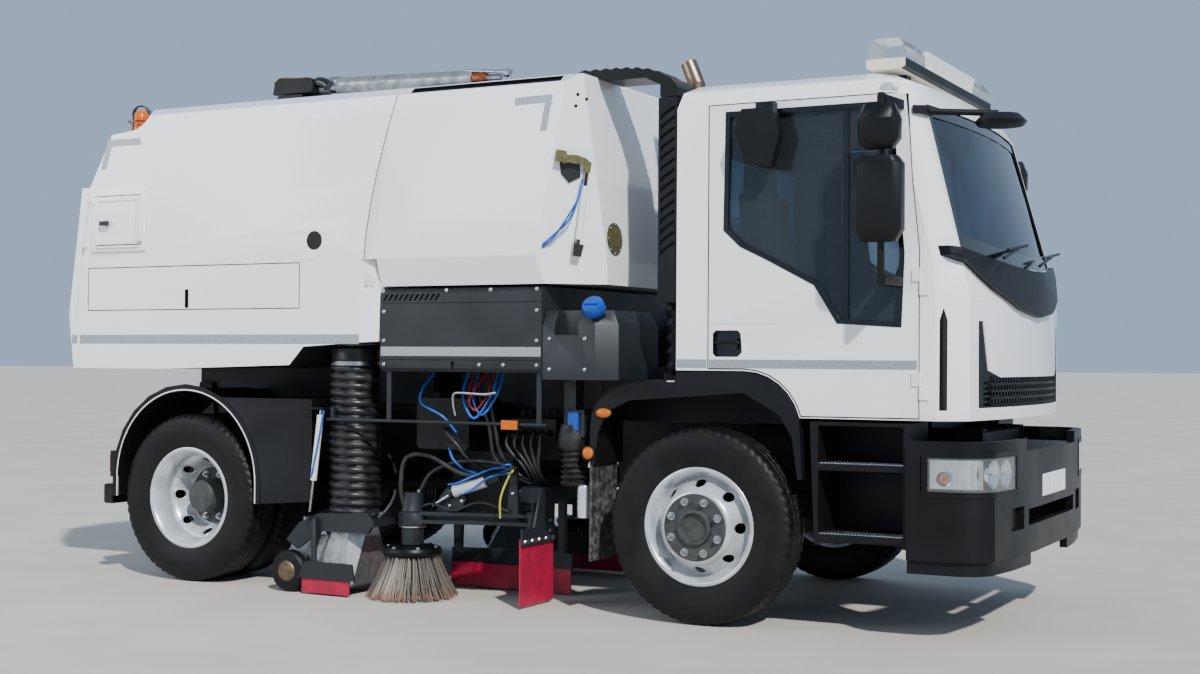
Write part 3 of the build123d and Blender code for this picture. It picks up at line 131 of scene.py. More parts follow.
def shader_of(name, **sockets):
    """A new material, its node tree, its shader and the object coordinates."""
    material = bpy.data.materials.new(name)
    material.use_nodes = True
    tree = material.node_tree
    shader = tree.nodes["Principled BSDF"]
    for key, value in sockets.items():
        shader.inputs[key.replace("_", " ")].default_value = value
    place = add_node(tree, "ShaderNodeTexCoord").outputs["Object"]
    return material, tree, shader, place


print("white", [round(c, 3) for c in linear("#EEF0F1")])

# %% [markdown]
# ## A finish from a mask
# Real finishes drift: a patch is cleaner or duller than the next. So each finish runs between
# two colours and two roughnesses by one mask, and a finer noise gives the grain as a bump.
# Patches and grain are sized in millimetres, since Object coordinates are in metres.

# %% A finish from a mask
bump_strength = 0.6


def noise(tree, place, size_mm, detail):
    """A noise texture whose features are about this size."""
    return add_node(tree, "ShaderNodeTexNoise", {"Vector": place, "Scale": 1000 / size_mm, "Detail": detail})


def set_finish(tree, shader, tones, mask, roughness, height, relief_mm):
    """Colour and roughness run between two values by a mask, and a height gives the bump."""
    ends = {6: linear(tones[0]), 7: linear(tones[1])}
    colour = add_node(tree, "ShaderNodeMix", {0: mask, **ends}, data_type="RGBA")
    tree.links.new(colour.outputs[2], shader.inputs["Base Color"])
    reach = {"To Min": roughness[0], "To Max": roughness[1]}
    gloss = add_node(tree, "ShaderNodeMapRange", {"Value": mask, **reach})
    tree.links.new(gloss.outputs[0], shader.inputs["Roughness"])
    relief = {"Height": height, "Distance": relief_mm / 1000, "Strength": bump_strength}
    tree.links.new(add_node(tree, "ShaderNodeBump", relief).outputs[0], shader.inputs["Normal"])


def grained(name, tones, roughness, patch_mm, grain_mm, relief_mm, spread=(0.35, 0.65), **sockets):
    """A finish with drifting tone and a fine grain, both noise sized in millimetres."""
    material, tree, shader, place = shader_of(name, **sockets)
    patch = noise(tree, place, patch_mm, 4.0).outputs["Fac"]
    reach = {"From Min": spread[0], "From Max": spread[1]}
    mask = add_node(tree, "ShaderNodeMapRange", {"Value": patch, **reach}).outputs[0]
    grain = noise(tree, place, grain_mm, 3.0).outputs["Fac"]
    set_finish(tree, shader, tones, mask, roughness, grain, relief_mm)
    return material


print("bumps are drawn at", bump_strength, "of their height")

# %% [markdown]
# ## Painted bodywork
# The body is stoved two-pack enamel: a hard clear gloss with faint orange peel. Road film
# gathers low down, so the mask multiplies how low a spot lies by a slow noise, and a Coat on
# the shader gives the clear layer over the colour.

# %% Painted bodywork
film_top, film_foot = 1.5, 0.4
cloud_mm, peel_mm = 1000 / 3, 6.25


def road_film(name, clean, dusty, roughness, **sockets):
    """Enamel that dulls towards the road: mask = (top - height) x noise, over orange peel."""
    material, tree, shader, place = shader_of(name, **sockets)
    height = add_node(tree, "ShaderNodeSeparateXYZ", {0: place}).outputs[2]
    reach = {"From Min": film_top, "From Max": film_foot}
    lowness = add_node(tree, "ShaderNodeMapRange", {"Value": height, **reach}).outputs[0]
    cloud = noise(tree, place, cloud_mm, 8.0).outputs["Fac"]
    share = add_node(tree, "ShaderNodeMath", {0: lowness, 1: cloud}, operation="MULTIPLY").outputs[0]
    peel = noise(tree, place, peel_mm, 1.0).outputs["Fac"]
    set_finish(tree, shader, (clean, dusty), share, roughness, peel, 0.05)
    return material


# stoved enamel: a bright, wet-looking white that goes cream and dull near the road
white_enamel = road_film(
    "white_enamel", "#F2F3F3", "#C9C4BA", (0.2, 0.5), Coat_Weight=0.6, Coat_Roughness=0.05
)
# the same enamel, greyed to lilac as painted sky-tinted shade on the roof's slanted edge, and flatter where
# rain dries on it
sky_shade_enamel = road_film("lilac_grey_enamel", "#C6C7D2", "#B1B0B4", (0.3, 0.5), Coat_Weight=0.3)
print("road film from", film_top, "m down to", film_foot, "m")

# %% [markdown]
# ## Powder coat, mouldings and boards
# The housings are powder coated, which leaves a fine even texture. The arches and bumper are
# moulded polypropylene with a spark-eroded grain. Both reflect less at a slant than the
# shader's default, so their specular level is lowered.

# %% Powder coat, mouldings and boards
# powder coat on sheet steel: slate grey with a soft, even sheen
slate_powder = grained(
    "slate_powder_coat", ("#1F2327", "#171A1D"), (0.36, 0.5), 300, 2.5, 0.25, Specular_IOR_Level=0.4
)
# moulded polypropylene: nearly black, its grain spreads each highlight
black_moulding = grained(
    "black_polypropylene", ("#0C0D0E", "#141517"), (0.36, 0.5), 500, 2.0, 0.3, Specular_IOR_Level=0.22
)
# ABS from a polished mould: black with sharp reflections
gloss_black = grained("gloss_black_abs", ("#08090A", "#0E0F10"), (0.1, 0.2), 200, 6.0, 0.05, Coat_Weight=0.4)
# brushed chassis paint: black under patches of brown dust
frame_paint = grained(
    "dusty_chassis_paint", ("#0D0F11", "#25221F"), (0.4, 0.75), 120, 4.0, 0.3, (0.45, 0.85),
    Specular_IOR_Level=0.25,
)
# woven polyester: matt, with a pale sheen along its edges
seat_cloth = grained("woven_seat_cloth", ("#3A3D43", "#2B2D31"), (0.85, 0.95), 40, 3.0, 0.6, Sheen_Weight=0.3)
# gel-coated polyester, yellowed a little by the sun: warm and half dull
cream_board = grained("cream_polyester", ("#E9E2CD", "#D9D1BB"), (0.35, 0.5), 150, 5.0, 0.1)
# rolled aluminium under white film: flat and even
blank_plate = grained("blank_white_plate", ("#F2F3F1", "#E2E3E0"), (0.3, 0.42), 90, 4.0, 0.1)
# zinc plate with an olive chromate film: a dull green-brown with a metal's glint
olive_zinc = grained(
    "olive_passivated_zinc", ("#77724A", "#5B5B3C"), (0.35, 0.6), 25, 2.0, 0.2, Metallic=0.55
)
# blow-moulded polyethylene: a full blue with a waxy sheen
blue_moulding = grained("blue_polyethylene", ("#0B4BB3", "#0A3B90"), (0.28, 0.4), 60, 3.0, 0.2)
print(len(bpy.data.materials), "materials so far")

# %% [markdown]
# ## Rubber
# Rubber is black from its soot, and it scatters light, so it is rough and reflects little.
# Tyres are moulded and take pale dust, hoses are extruded and keep a soft line of light, and
# the skirts are cut from coloured sheet.

# %% Rubber
# vulcanised tread rubber: matt black with dust that settles in patches
tyre_rubber = grained(
    "tyre_rubber", ("#0A0A0B", "#1B1917"), (0.5, 0.85), 160, 3.0, 0.4, (0.45, 0.8), Specular_IOR_Level=0.25
)
# extruded hose: smoother than a tyre, so each rib carries a highlight
hose_rubber = grained("hose_rubber", ("#0F1012", "#1F1F20"), (0.32, 0.6), 70, 3.0, 0.2)
# coloured rubber sheet: a deep even red with a soft gloss
crimson_rubber = grained("crimson_rubber", ("#A80C38", "#86092C"), (0.35, 0.55), 90, 4.0, 0.3)
# a mud flap that stones have scuffed: pale grey scars on black
worn_flap = grained("scuffed_rubber", ("#252524", "#6A6864"), (0.7, 0.95), 35, 3.0, 0.8, (0.42, 0.78))
print(len(bpy.data.materials), "materials so far")

# %% [markdown]
# ## Steel and other metals
# Wheels are sprayed silver, fittings are zinc-bright or galvanised, and the exhaust is blued
# by heat. Bare metals have a Metallic of 1 and keep the default IOR, and a painted or stained
# metal lies between, since only part of its surface mirrors.

# %% Steel and other metals
# pressed steel sprayed silver under lacquer: bright and even
wheel_silver = grained(
    "silver_wheel_enamel", ("#D3D6D8", "#B5B8BA"), (0.24, 0.4), 120, 3.0, 0.08, Metallic=0.45, Coat_Weight=0.3
)
# cast iron under brushed paint: dark grey and rough
hub_iron = grained("painted_cast_hub", ("#2B2D2E", "#3D3D3B"), (0.45, 0.7), 40, 3.0, 0.5)
# bright zinc plate on fasteners: cold and shiny with small grey stains
bright_zinc = grained("bright_zinc", ("#C9CCCE", "#A2A5A7"), (0.18, 0.38), 30, 2.0, 0.1, Metallic=1.0)
# hot-dipped sheet: pale, with the patches that zinc crystals leave
hood_steel = grained(
    "galvanised_hood_steel", ("#B7B9BA", "#8C8D8C"), (0.3, 0.5), 45, 5.0, 0.15, Metallic=0.85
)
# a bronze cap rubbed by grit: brown with a dull shine
bronze_hub = grained("worn_bronze", ("#7D6A55", "#5A4C40"), (0.4, 0.6), 30, 2.0, 0.3, Metallic=0.8)
# drawn steel heated by exhaust gas: straw and brown tints on a bright metal
heat_steel = grained("heat_blued_steel", ("#A08770", "#6E6058"), (0.25, 0.45), 90, 4.0, 0.1, Metallic=1.0)
# galvanised tube: an even half-dull grey
tube_grey = grained("galvanised_tube", ("#9EA3A6", "#7E8285"), (0.3, 0.5), 60, 3.0, 0.1, Metallic=0.7)
# turned copper darkened by hands: reddish with brown stains
copper = grained("worn_copper", ("#A85F3C", "#6E4230"), (0.3, 0.5), 20, 2.0, 0.1, Metallic=0.9)
# plastic with a film of aluminium: close to a mirror
lamp_chrome = grained(
    "aluminised_reflector", ("#F2F4F5", "#DFE2E4"), (0.04, 0.1), 50, 8.0, 0.02, Metallic=1.0
)
print(len(bpy.data.materials), "materials so far")

# %% [markdown]
# ## Nylon lines
# Air and oil lines are extruded nylon, coloured right through, so they are saturated and
# waxy. They are thin, and the colour does more for the eye than any grain.

# %% Nylon lines
# nylon coloured blue right through: saturated, with a waxy gloss
blue_line = grained("blue_nylon_line", ("#1660C4", "#0F4590"), (0.28, 0.4), 60, 3.0, 0.05)
# the same nylon in red: deep and waxy
red_line = grained("red_nylon_line", ("#B01822", "#861219"), (0.28, 0.4), 60, 3.0, 0.05)
# a softer sheath than the nylon: pale, between yellow and green
lime_line = grained("yellow_green_line", ("#B7B53C", "#8A8A2E"), (0.3, 0.45), 50, 3.0, 0.05)
print(len(bpy.data.materials), "materials so far")

# %% [markdown]
# ## Glass and lenses
# Panes and lamp covers let light through, so they are transmitting shaders with a tint. The
# dark cab behind the glass makes it look nearly black, as on the real truck, and no black
# paint is needed. Slow waves in the surface bend the reflections a little.


# %% Glass and lenses
def clear(name, tint, roughness, transmission, wave_mm, relief_mm, ior=1.49):
    """A transparent moulding or pane: a tint, and slow waves in its surface."""
    sockets = {"Roughness": roughness, "IOR": ior, "Transmission_Weight": transmission}
    material, tree, shader, place = shader_of(name, **sockets)
    wave = noise(tree, place, wave_mm, 2.0).outputs["Fac"]
    ends = {6: linear(tint[0]), 7: linear(tint[1])}
    tone = add_node(tree, "ShaderNodeMix", {0: wave, **ends}, data_type="RGBA")
    tree.links.new(tone.outputs[2], shader.inputs["Base Color"])
    bump = add_node(tree, "ShaderNodeBump", {"Height": wave, "Distance": relief_mm / 1000})
    tree.links.new(bump.outputs[0], shader.inputs["Normal"])
    return material


# toughened side glass: a faint, cool grey tint
tinted_glass = clear("tinted_safety_glass", ("#B9C4CB", "#ABB7BF"), 0.02, 0.97, 400, 0.02, 1.45)
# two panes tinted a deep blue as a painted reflection of the sky: a deeper blue than the side glass
sky_blue_screen_glass = clear("laminated_windscreen", ("#35506A", "#2B455D"), 0.02, 0.9, 500, 0.02, 1.4)
# moulded polycarbonate: colourless, with fine ripples
clear_lens = clear("clear_lens", ("#F4F7F8", "#E4E9EC"), 0.04, 0.95, 12, 0.05)
# acrylic coloured through: an orange that glows where light passes
amber_lens = clear("amber_lens", ("#FF8A1C", "#E86A05"), 0.12, 0.45, 8, 0.2)
# the same acrylic in red: dark in itself, bright along its edges
red_lens = clear("red_lens", ("#C1121F", "#8E0B16"), 0.12, 0.4, 8, 0.2)
print(len(bpy.data.materials), "materials so far")

# %% [markdown]
# ## Reflective tape
# The grey stripes are beaded retroreflective tape. Its backing shows a fine cell pattern, and
# a Voronoi texture at 7 mm, coarser than the real beads, keeps it in sight of the camera.

# %% Reflective tape
cell_mm = 7


def beaded_tape():
    """Tape whose colour, roughness and relief all follow the distance from a cell's middle."""
    material, tree, shader, place = shader_of("beaded_grey_tape", Metallic=0.3)
    cells = add_node(tree, "ShaderNodeTexVoronoi", {"Vector": place, "Scale": 1000 / cell_mm})
    distance = cells.outputs["Distance"]
    set_finish(tree, shader, ("#A3A8AB", "#8B9093"), distance, (0.3, 0.45), distance, 0.1)
    return material


# glass beads under clear film: grey by day, with a fine sparkle of cells
grey_tape = beaded_tape()
print(len(bpy.data.materials), "materials so far")

# %% [markdown]
# ## Grids and lathes
# Each helper returns points and quads. A lathe carries an outline round an axis. Rows that
# shrink to one point close the ends, and merging the doubles turns those quads to triangles.
# A Screw modifier turns outlines too, but with arrays a rib or a groove can change the radius.


# %% Grids and lathes
def grid_quads(rows, columns, close_rows=False, close_columns=False):
    """Quads between neighbouring points of a grid, wrapped round where it closes."""
    row = np.arange(rows if close_rows else rows - 1)[:, None]
    column = np.arange(columns if close_columns else columns - 1)[None, :]
    next_row, next_column = (row + 1) % rows, (column + 1) % columns
    corners = [row * columns + column, row * columns + next_column]
    corners += [next_row * columns + next_column, next_row * columns + column]
    return np.stack(corners, -1).reshape(-1, 4)


def turned(outline, steps, axis, centre=(0.0, 0.0, 0.0)):
    """Lathe: point = centre + radius x (cos a, sin a) across the axis + distance along it."""
    radius, along = np.asarray(outline, float).T
    angle = np.linspace(0, 2 * np.pi, steps, endpoint=False)[:, None]
    local = np.stack([radius * np.cos(angle), radius * np.sin(angle), along + 0 * angle], -1)
    order = {"z": [0, 1, 2], "y": [0, 2, 1]}[axis]
    points = local[..., order] + np.asarray(centre)
    return points.reshape(-1, 3), grid_quads(steps, len(radius), True, True)


def peg(radius, length, steps, foot=0.0):
    """A plain round bar along z, from its foot up."""
    return turned([(0, foot), (radius, foot), (radius, length), (0, length)], steps, "z")


def rounded(outline, times, closed=True):
    """Corner cutting: each side is replaced by the points at a quarter and three quarters."""
    points = np.asarray(outline, float)
    for turn in range(times):
        after = np.roll(points, -1, axis=0)
        cut = np.stack([0.75 * points + 0.25 * after, 0.25 * points + 0.75 * after], 1)
        cut = cut.reshape(-1, points.shape[1])
        points = cut if closed else np.vstack([points[:1], cut[:-2], points[-1:]])
    return points


print("a lathe of 4 rows in 12 steps has", len(peg(1, 1, 12)[1]), "quads")

# %% [markdown]
# ## Bars and hoses
# A hose is a circle carried along a smooth line. The line goes through a few listed points,
# and the circles stand across its direction. A curve with a bevel would do
# for one hose, and arrays also make hundreds of wires in one step.


# %% Bars and hoses
def through(points, samples):
    """A smooth line through points: the Catmull-Rom cubic between each two of them."""
    p = np.asarray(points, float)
    p = np.vstack([2 * p[0] - p[1], p, 2 * p[-1] - p[-2]])
    t = np.linspace(0, 1, samples, endpoint=False)[None, :, None]
    a, b, c, d = (p[k:len(p) - 3 + k, None] for k in range(4))
    bend, twist = 2 * a - 5 * b + 4 * c - d, 3 * b - a - 3 * c + d
    line = 0.5 * (2 * b + (c - a) * t + bend * t**2 + twist * t**3)
    return np.vstack([line.reshape(-1, 3), p[-2]])


def tubes(paths, radius, sides):
    """Round bars on many paths at once: path + radius x (cos a x side + sin a x up)."""
    paths = np.asarray(paths, float)
    tangent = np.gradient(paths, axis=1)
    tangent /= np.linalg.norm(tangent, axis=2, keepdims=True)
    reference = np.eye(3)[np.abs(tangent).max(axis=(0, 1)).argmin()]
    side = np.cross(tangent, reference)
    side /= np.linalg.norm(side, axis=2, keepdims=True)
    up = np.cross(side, tangent)
    angle = np.linspace(0, 2 * np.pi, sides, endpoint=False)[None, None, :, None]
    radius = np.broadcast_to(np.asarray(radius, float), paths.shape[:2])[..., None, None]
    rings = np.cos(angle) * side[:, :, None] + np.sin(angle) * up[:, :, None]
    rings = paths[:, :, None] + radius * rings
    first, last = (np.repeat(end[:, None, None], sides, 2) for end in (paths[:, 0], paths[:, -1]))
    points = np.concatenate([first, rings, last], 1)
    quads = grid_quads(points.shape[1], sides, False, True)
    starts = points.shape[1] * sides * np.arange(len(paths))[:, None, None]
    return points.reshape(-1, 3), (quads[None] + starts).reshape(-1, 4)


def tube(path, radius, sides):
    """One round bar along a path, with its ends closed."""
    return tubes(np.asarray(path, float)[None], radius, sides)


def hose(points, radius, sides=10, samples=10):
    """A hose: a round bar on the smooth line through a few points."""
    return tube(through(points, samples), radius, sides)


def bar(start, end, radius, sides=16):
    """A straight round bar between two points."""
    return tube(np.linspace(start, end, 2), radius, sides)


def capped(rings):
    """Rings of points along a path made a closed skin: each end shrinks to its middle."""
    first, last = (end.mean(axis=0, keepdims=True)[None] for end in (rings[0], rings[-1]))
    around = rings.shape[1]
    rings = np.concatenate([np.repeat(first, around, 1), rings, np.repeat(last, around, 1)])
    return rings.reshape(-1, 3), grid_quads(len(rings), around, False, True)


print("a straight bar has", len(bar((0, 0, 0), (1, 0, 0), 0.01)[1]), "quads")

# %% [markdown]
# ## Plates and boxes
# A prism caps an outline at two heights. Plates on the truck's sides are prisms laid on their
# sides, and a frame round a window is an outline and the same outline drawn in. Extruding by
# hand gives the same, but an outline of numbers is easier to correct.


# %% Plates and boxes
def prism(outline, low, high):
    """An outline of (x, y) points raised from low to high along z, its ends closed."""
    outline = np.asarray(outline, float)
    middle = np.broadcast_to(outline.mean(axis=0), outline.shape)
    levels = [(middle, low), (outline, low), (outline, high), (middle, high)]
    points = np.stack([np.column_stack([flat, np.full(len(flat), z)]) for flat, z in levels])
    return points.reshape(-1, 3), grid_quads(4, len(outline), False, True)


def side_panel(outline, y_inner, y_outer):
    """A side-view outline of (x, z) points made a plate between two distances from the middle."""
    points, quads = prism(outline, -y_outer, -y_inner)
    return points[:, [0, 2, 1]], quads


def inset(outline, amount):
    """An anticlockwise outline drawn in: each corner moves along its two sides' normals."""
    points = np.asarray(outline, float)
    ahead = np.roll(points, -1, axis=0) - points
    ahead /= np.linalg.norm(ahead, axis=1, keepdims=True)
    normal = np.stack([-ahead[:, 1], ahead[:, 0]], 1)
    before = np.roll(normal, 1, axis=0)
    return points + amount * (normal + before) / (1 + (normal * before).sum(axis=1, keepdims=True))


def side_ring(outline, width, y_inner, y_outer):
    """A frame of even width inside a side-view outline."""
    outer, inner = np.asarray(outline, float), inset(outline, width)
    levels = [(outer, -y_inner), (outer, -y_outer), (inner, -y_outer), (inner, -y_inner)]
    points = [np.column_stack([flat[:, 0], np.full(len(flat), y), flat[:, 1]]) for flat, y in levels]
    return np.vstack(points), grid_quads(4, len(outer), True, True)


cube = prism([(-0.5, -0.5), (0.5, -0.5), (0.5, 0.5), (-0.5, 0.5)], -0.5, 0.5)


def box(low, high):
    """An upright box between two corners."""
    low, high = np.asarray(low, float), np.asarray(high, float)
    return cube[0] * (high - low) + (low + high) / 2, cube[1]


print("a box has", len(box((0, 0, 0), (1, 1, 1))[1]), "quads before merging")

# %% [markdown]
# ## Copies and mirrors
# A place is a 4 x 4 matrix, and one multiplication puts a bolt at all its places at once. The
# truck is nearly the same on both sides, so most pieces are made for the right and mirrored.
# Array and Mirror modifiers do this too, but a matrix also takes circles and slanted faces.


# %% Copies and mirrors
def copies(shape, places):
    """One shape at many places: every point is multiplied by every 4 x 4 place."""
    points, quads = shape
    moved = np.einsum("nij,mj->nmi", places, np.column_stack([points, np.ones(len(points))]))[..., :3]
    shifts = len(points) * np.arange(len(places))[:, None, None]
    return moved.reshape(-1, 3), (quads[None] + shifts).reshape(-1, 4)


def places(origins, x_axis=(1, 0, 0), y_axis=(0, 1, 0), z_axis=(0, 0, 1)):
    """4 x 4 places whose columns are three axes and an origin; single values are shared."""
    origins = np.atleast_2d(np.asarray(origins, float))
    columns = [np.broadcast_to(np.asarray(c, float), origins.shape) for c in (x_axis, y_axis, z_axis)]
    matrices = np.zeros((len(origins), 4, 4))
    matrices[:, :3, :] = np.stack([*columns, origins], -1)
    matrices[:, 3, 3] = 1
    return matrices


def joined(*shapes):
    """Several shapes as one: points are stacked and the quads' numbers shifted."""
    starts = np.cumsum([0] + [len(points) for points, quads in shapes[:-1]])
    quads = [shape[1] + start for shape, start in zip(shapes, starts)]
    return np.vstack([shape[0] for shape in shapes]), np.vstack(quads)


def mirrored(shape):
    """The same shape on the vehicle's other side."""
    return shape[0] * [1, -1, 1], shape[1]


def both(*shapes):
    """Right-hand shapes and their mirror images as one shape."""
    right = joined(*shapes)
    return joined(right, mirrored(right))


print("two boxes have", len(both(cube)[1]), "quads")

# %% [markdown]
# ## From arrays to pieces
# A piece is merged, its faces are turned outwards, and it rides on the body that carries it.
# Its place is in its mesh, so the object itself stays at the origin. A small bevel rounds its
# edges, and a plate that is only a surface gets its thickness from a Solidify modifier.

# %% From arrays to pieces
added_triangles = 0
merge_distance = 2e-5


def settle(mesh, smooth_angle, outward=True, flat_angle=None):
    """Merges doubles, turns faces outwards, dissolves flat seams and marks sharp edges."""
    work = bmesh.new()
    work.from_mesh(mesh)
    bmesh.ops.remove_doubles(work, verts=work.verts, dist=merge_distance)
    if flat_angle is not None:
        limit = math.radians(flat_angle)
        bmesh.ops.dissolve_limit(work, angle_limit=limit, verts=work.verts, edges=work.edges)
    if outward:
        bmesh.ops.recalc_face_normals(work, faces=work.faces)
    work.to_mesh(mesh)
    work.free()
    mesh.polygons.foreach_set("use_smooth", [True] * len(mesh.polygons))
    mesh.set_sharp_from_angle(angle=math.radians(smooth_angle))


def round_edges(piece, width_mm, angle=32):
    """A bevel of two segments on the edges that turn by more than an angle."""
    bevel = piece.modifiers.new("rounded_edges", "BEVEL")
    bevel.width = width_mm / 1000
    bevel.segments = 2
    bevel.limit_method = "ANGLE"
    bevel.angle_limit = math.radians(angle)
    bevel.harden_normals = True


def thicken(piece, thickness_mm):
    """A wall of even thickness, half of it on each side of the surface."""
    solid = piece.modifiers.new("plate_thickness", "SOLIDIFY")
    solid.thickness = thickness_mm / 1000
    solid.offset = 0.0


def add_piece(name, shape, material, body, slot, smooth_angle=38, bevel_mm=0.0, wall_mm=0.0, replaces=()):
    """Makes a piece from points and quads, and hangs it on its body."""
    global added_triangles
    points, quads = shape
    mesh = bpy.data.meshes.new(name)
    mesh.from_pydata(points.tolist(), [], quads.tolist())
    settle(mesh, smooth_angle)
    mesh.materials.append(material)
    piece = put(name, mesh)
    if bevel_mm:
        round_edges(piece, bevel_mm)
    if wall_mm:
        thicken(piece, wall_mm)
    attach(piece, body)
    if replaces:
        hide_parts(*replaces)
    added_triangles += sum(len(face.vertices) - 2 for face in mesh.polygons)


def add_pair(name, shape, material, body, slot, replaces=(), **options):
    """A right-hand piece and its mirror image; {} in a body's or node's name takes the side."""
    for side, half in (("right", shape), ("left", mirrored(shape))):
        nodes = [node.format(side) for node in replaces]
        add_piece(f"{name}_{side}", half, material, body.format(side), slot, replaces=nodes, **options)


def tell(step):
    """Prints what a step has brought the count to."""
    print(step, "done,", added_triangles, "triangles so far")


tell("helpers")

# %% [markdown]
# ## Dressing the solids
# A solid's mesh has knife edges, which look like card. A merged copy with small rounded edges
# catches the light as pressed steel and mouldings do, and rules on the faces' middles give
# each region its own finish.

# %% Dressing the solids
seam_angle, least_bevel_angle = 0.5, 32


def dress(node, material, bevel_mm, smooth_angle, zones=()):
    """A merged copy of a CAD node with rounded edges; zones are (finish, rule) pairs.

    A rule takes the faces' middles and normals, as arrays, and gives True where it holds.
    """
    mesh = frame["nodes"][node].data.copy()
    mesh.materials.clear()
    settle(mesh, smooth_angle, outward=False, flat_angle=seam_angle)
    mesh.materials.append(material)
    count = len(mesh.polygons)
    middles, normals = np.zeros(3 * count), np.zeros(3 * count)
    mesh.polygons.foreach_get("center", middles)
    mesh.polygons.foreach_get("normal", normals)
    choice = np.zeros(count, int)
    for finish, rule in zones:
        mesh.materials.append(finish)
        choice[rule(middles.reshape(-1, 3), normals.reshape(-1, 3))] = len(mesh.materials) - 1
    mesh.polygons.foreach_set("material_index", choice)
    piece = put(f"{node}_dressed", mesh)
    if bevel_mm:
        round_edges(piece, bevel_mm, max(least_bevel_angle, smooth_angle - 4))
    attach(piece, body_of[node])
    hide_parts(node)


def dress_all(table):
    """Dresses nodes from rows of (node, finish, bevel in mm, smoothing angle)."""
    for node, material, bevel_mm, smooth_angle in table:
        names = [node.format(side) for side in ("right", "left")] if "{}" in node else [node]
        for name in names:
            dress(name, material, bevel_mm, smooth_angle)


plain_nodes = [
    ("chassis_frame", frame_paint, 2, 30), ("front_axle", frame_paint, 2, 40),
    ("rear_axle", frame_paint, 2, 40), ("knuckle_{}", frame_paint, 2, 40),
    ("truck_engine", frame_paint, 8, 30), ("ram_barrel", frame_paint, 2, 40),
    ("ram_rod", bright_zinc, 1, 40), ("rear_mudguards", black_moulding, 2, 30),
    ("cab_steps", black_moulding, 4, 30), ("rear_bumper", frame_paint, 3, 30),
    ("air_intake", black_moulding, 2, 40), ("filler_boxes", slate_powder, 8, 40),
    ("sweep_frame", slate_powder, 3, 35), ("broom_arm_{}", slate_powder, 2, 40),
    ("rubber_skirts", crimson_rubber, 1, 30), ("suction_nozzles", hood_steel, 3, 40),
    ("cab_interior", seat_cloth, 12, 40), ("grille", black_moulding, 2, 30),
    ("cab_trim", black_moulding, 3, 40), ("mirrors_{}", black_moulding, 5, 48),
    ("rear_door", white_enamel, 4, 30), ("cab_glass", sky_blue_screen_glass, 0, 40),
    ("door_glass_{}", tinted_glass, 0, 30), ("rear_lamps", red_lens, 4, 30),
    ("roof_fittings", black_moulding, 3, 35), ("engine_enclosure", slate_powder, 3, 30),
    ("hydraulic_gear", frame_paint, 6, 30), ("exhaust_stack", heat_steel, 1, 40),
]
dress_all(plain_nodes)
print("dressed", len(plain_nodes), "rows of plain nodes")

# %% [markdown]
# ## Room for the arm's pins
# The broom arms swing on upright pins. Pin and bore are circles drawn with flat facets, and
# when one turns, its corners would cut the other's flats. The real pin has a running fit, so
# the dressed pin is drawn in by about the same.

# %% Room for the arm's pins
pin_centres = [(0.230, -0.820), (0.230, 0.820)]
pin_radius, pin_tolerance, pin_room = 0.025, 0.0002, 0.0006


def ease_pins(name):
    """Draws upright pins in by the room that the flat facets of a turning bore need."""
    mesh = bpy.data.objects[name].data
    points = np.zeros(3 * len(mesh.vertices))
    mesh.vertices.foreach_get("co", points)
    points = points.reshape(-1, 3)
    for centre in pin_centres:
        offset = points[:, :2] - centre
        reach = np.hypot(offset[:, 0], offset[:, 1])
        pin = np.abs(reach - pin_radius) < pin_tolerance
        points[pin, :2] -= pin_room * offset[pin] / reach[pin, None]
    mesh.vertices.foreach_set("co", points.ravel())
    mesh.update()


ease_pins("sweep_frame_dressed")
print("pins drawn in by", pin_room * 1000, "mm")

# %% [markdown]
# ## Rules for regions
# One solid often carries several finishes: a hopper is white outside and dark inside. A rule
# picks faces by where their middles lie and which way they face, so no face is counted out
# by hand, and the rule still holds when the solid is built again.

# %% Rules for regions
anywhere = (-9.0, 9.0)


def region(x=anywhere, side=anywhere, z=anywhere):
    """A rule that holds where a face's middle lies between limits of x, |y| and z, in metres."""
    low, high = np.transpose([x, side, z])

    def rule(middles, normals):
        spots = np.column_stack([middles[:, 0], np.abs(middles[:, 1]), middles[:, 2]])
        return ((spots > low) & (spots < high)).all(axis=1)

    return rule


def hollow(heart, **limits):
    """A rule for the inside of a hollow body, where the normals point towards its heart."""
    near = region(**limits)

    def rule(middles, normals):
        facing_in = ((np.asarray(heart) - middles) * normals).sum(axis=1) > 0
        return facing_in & near(middles, normals)

    return rule


print("a region reaches from", anywhere[0], "to", anywhere[1], "m where no limit is given")

# %% [markdown]
# ## The hopper, the cab and the doors
# The hopper's belly and inside are dark, with painted shade on the faces that look down. Its roof
# edge is greyer than its side from painted sky-tinted shade, and the panel gaps show as black lines. The cab
# and the doors are lined with black inside.

# %% The hopper, the cab and the doors
belly_top, underside_top = 1.275, 1.5
hopper_wall = 1.240
# the roof's chamfer starts at this height, and its normal leans sideways and up
chamfer_foot, chamfer_sideways, chamfer_up, slot_deep, slot_shallow = 2.790, 0.643, 0.766, -0.03, -0.002


def low_side(middles, normals):
    """The dark belly: all that is low, and, as painted shade, every face that looks down a little higher."""
    underside = (normals[:, 2] < -0.6) & (middles[:, 2] < underside_top)
    return (middles[:, 2] < belly_top) | underside


def roof_chamfer(middles, normals):
    """The slanted edge of the roof faces both sideways and up."""
    return (np.abs(normals[:, 1]) > 0.3) & (normals[:, 2] > 0.3) & (middles[:, 2] > 2.7)


side_grooves = region(x=(-9, 0.70), side=(1.222, 1.2392), z=(-9, 2.79))
hatch_frame = region(x=(-9, -2.2), z=(1.98, 2.36))
roof_slot_area = region(x=(-0.335, 0.615), z=(2.775, 9))


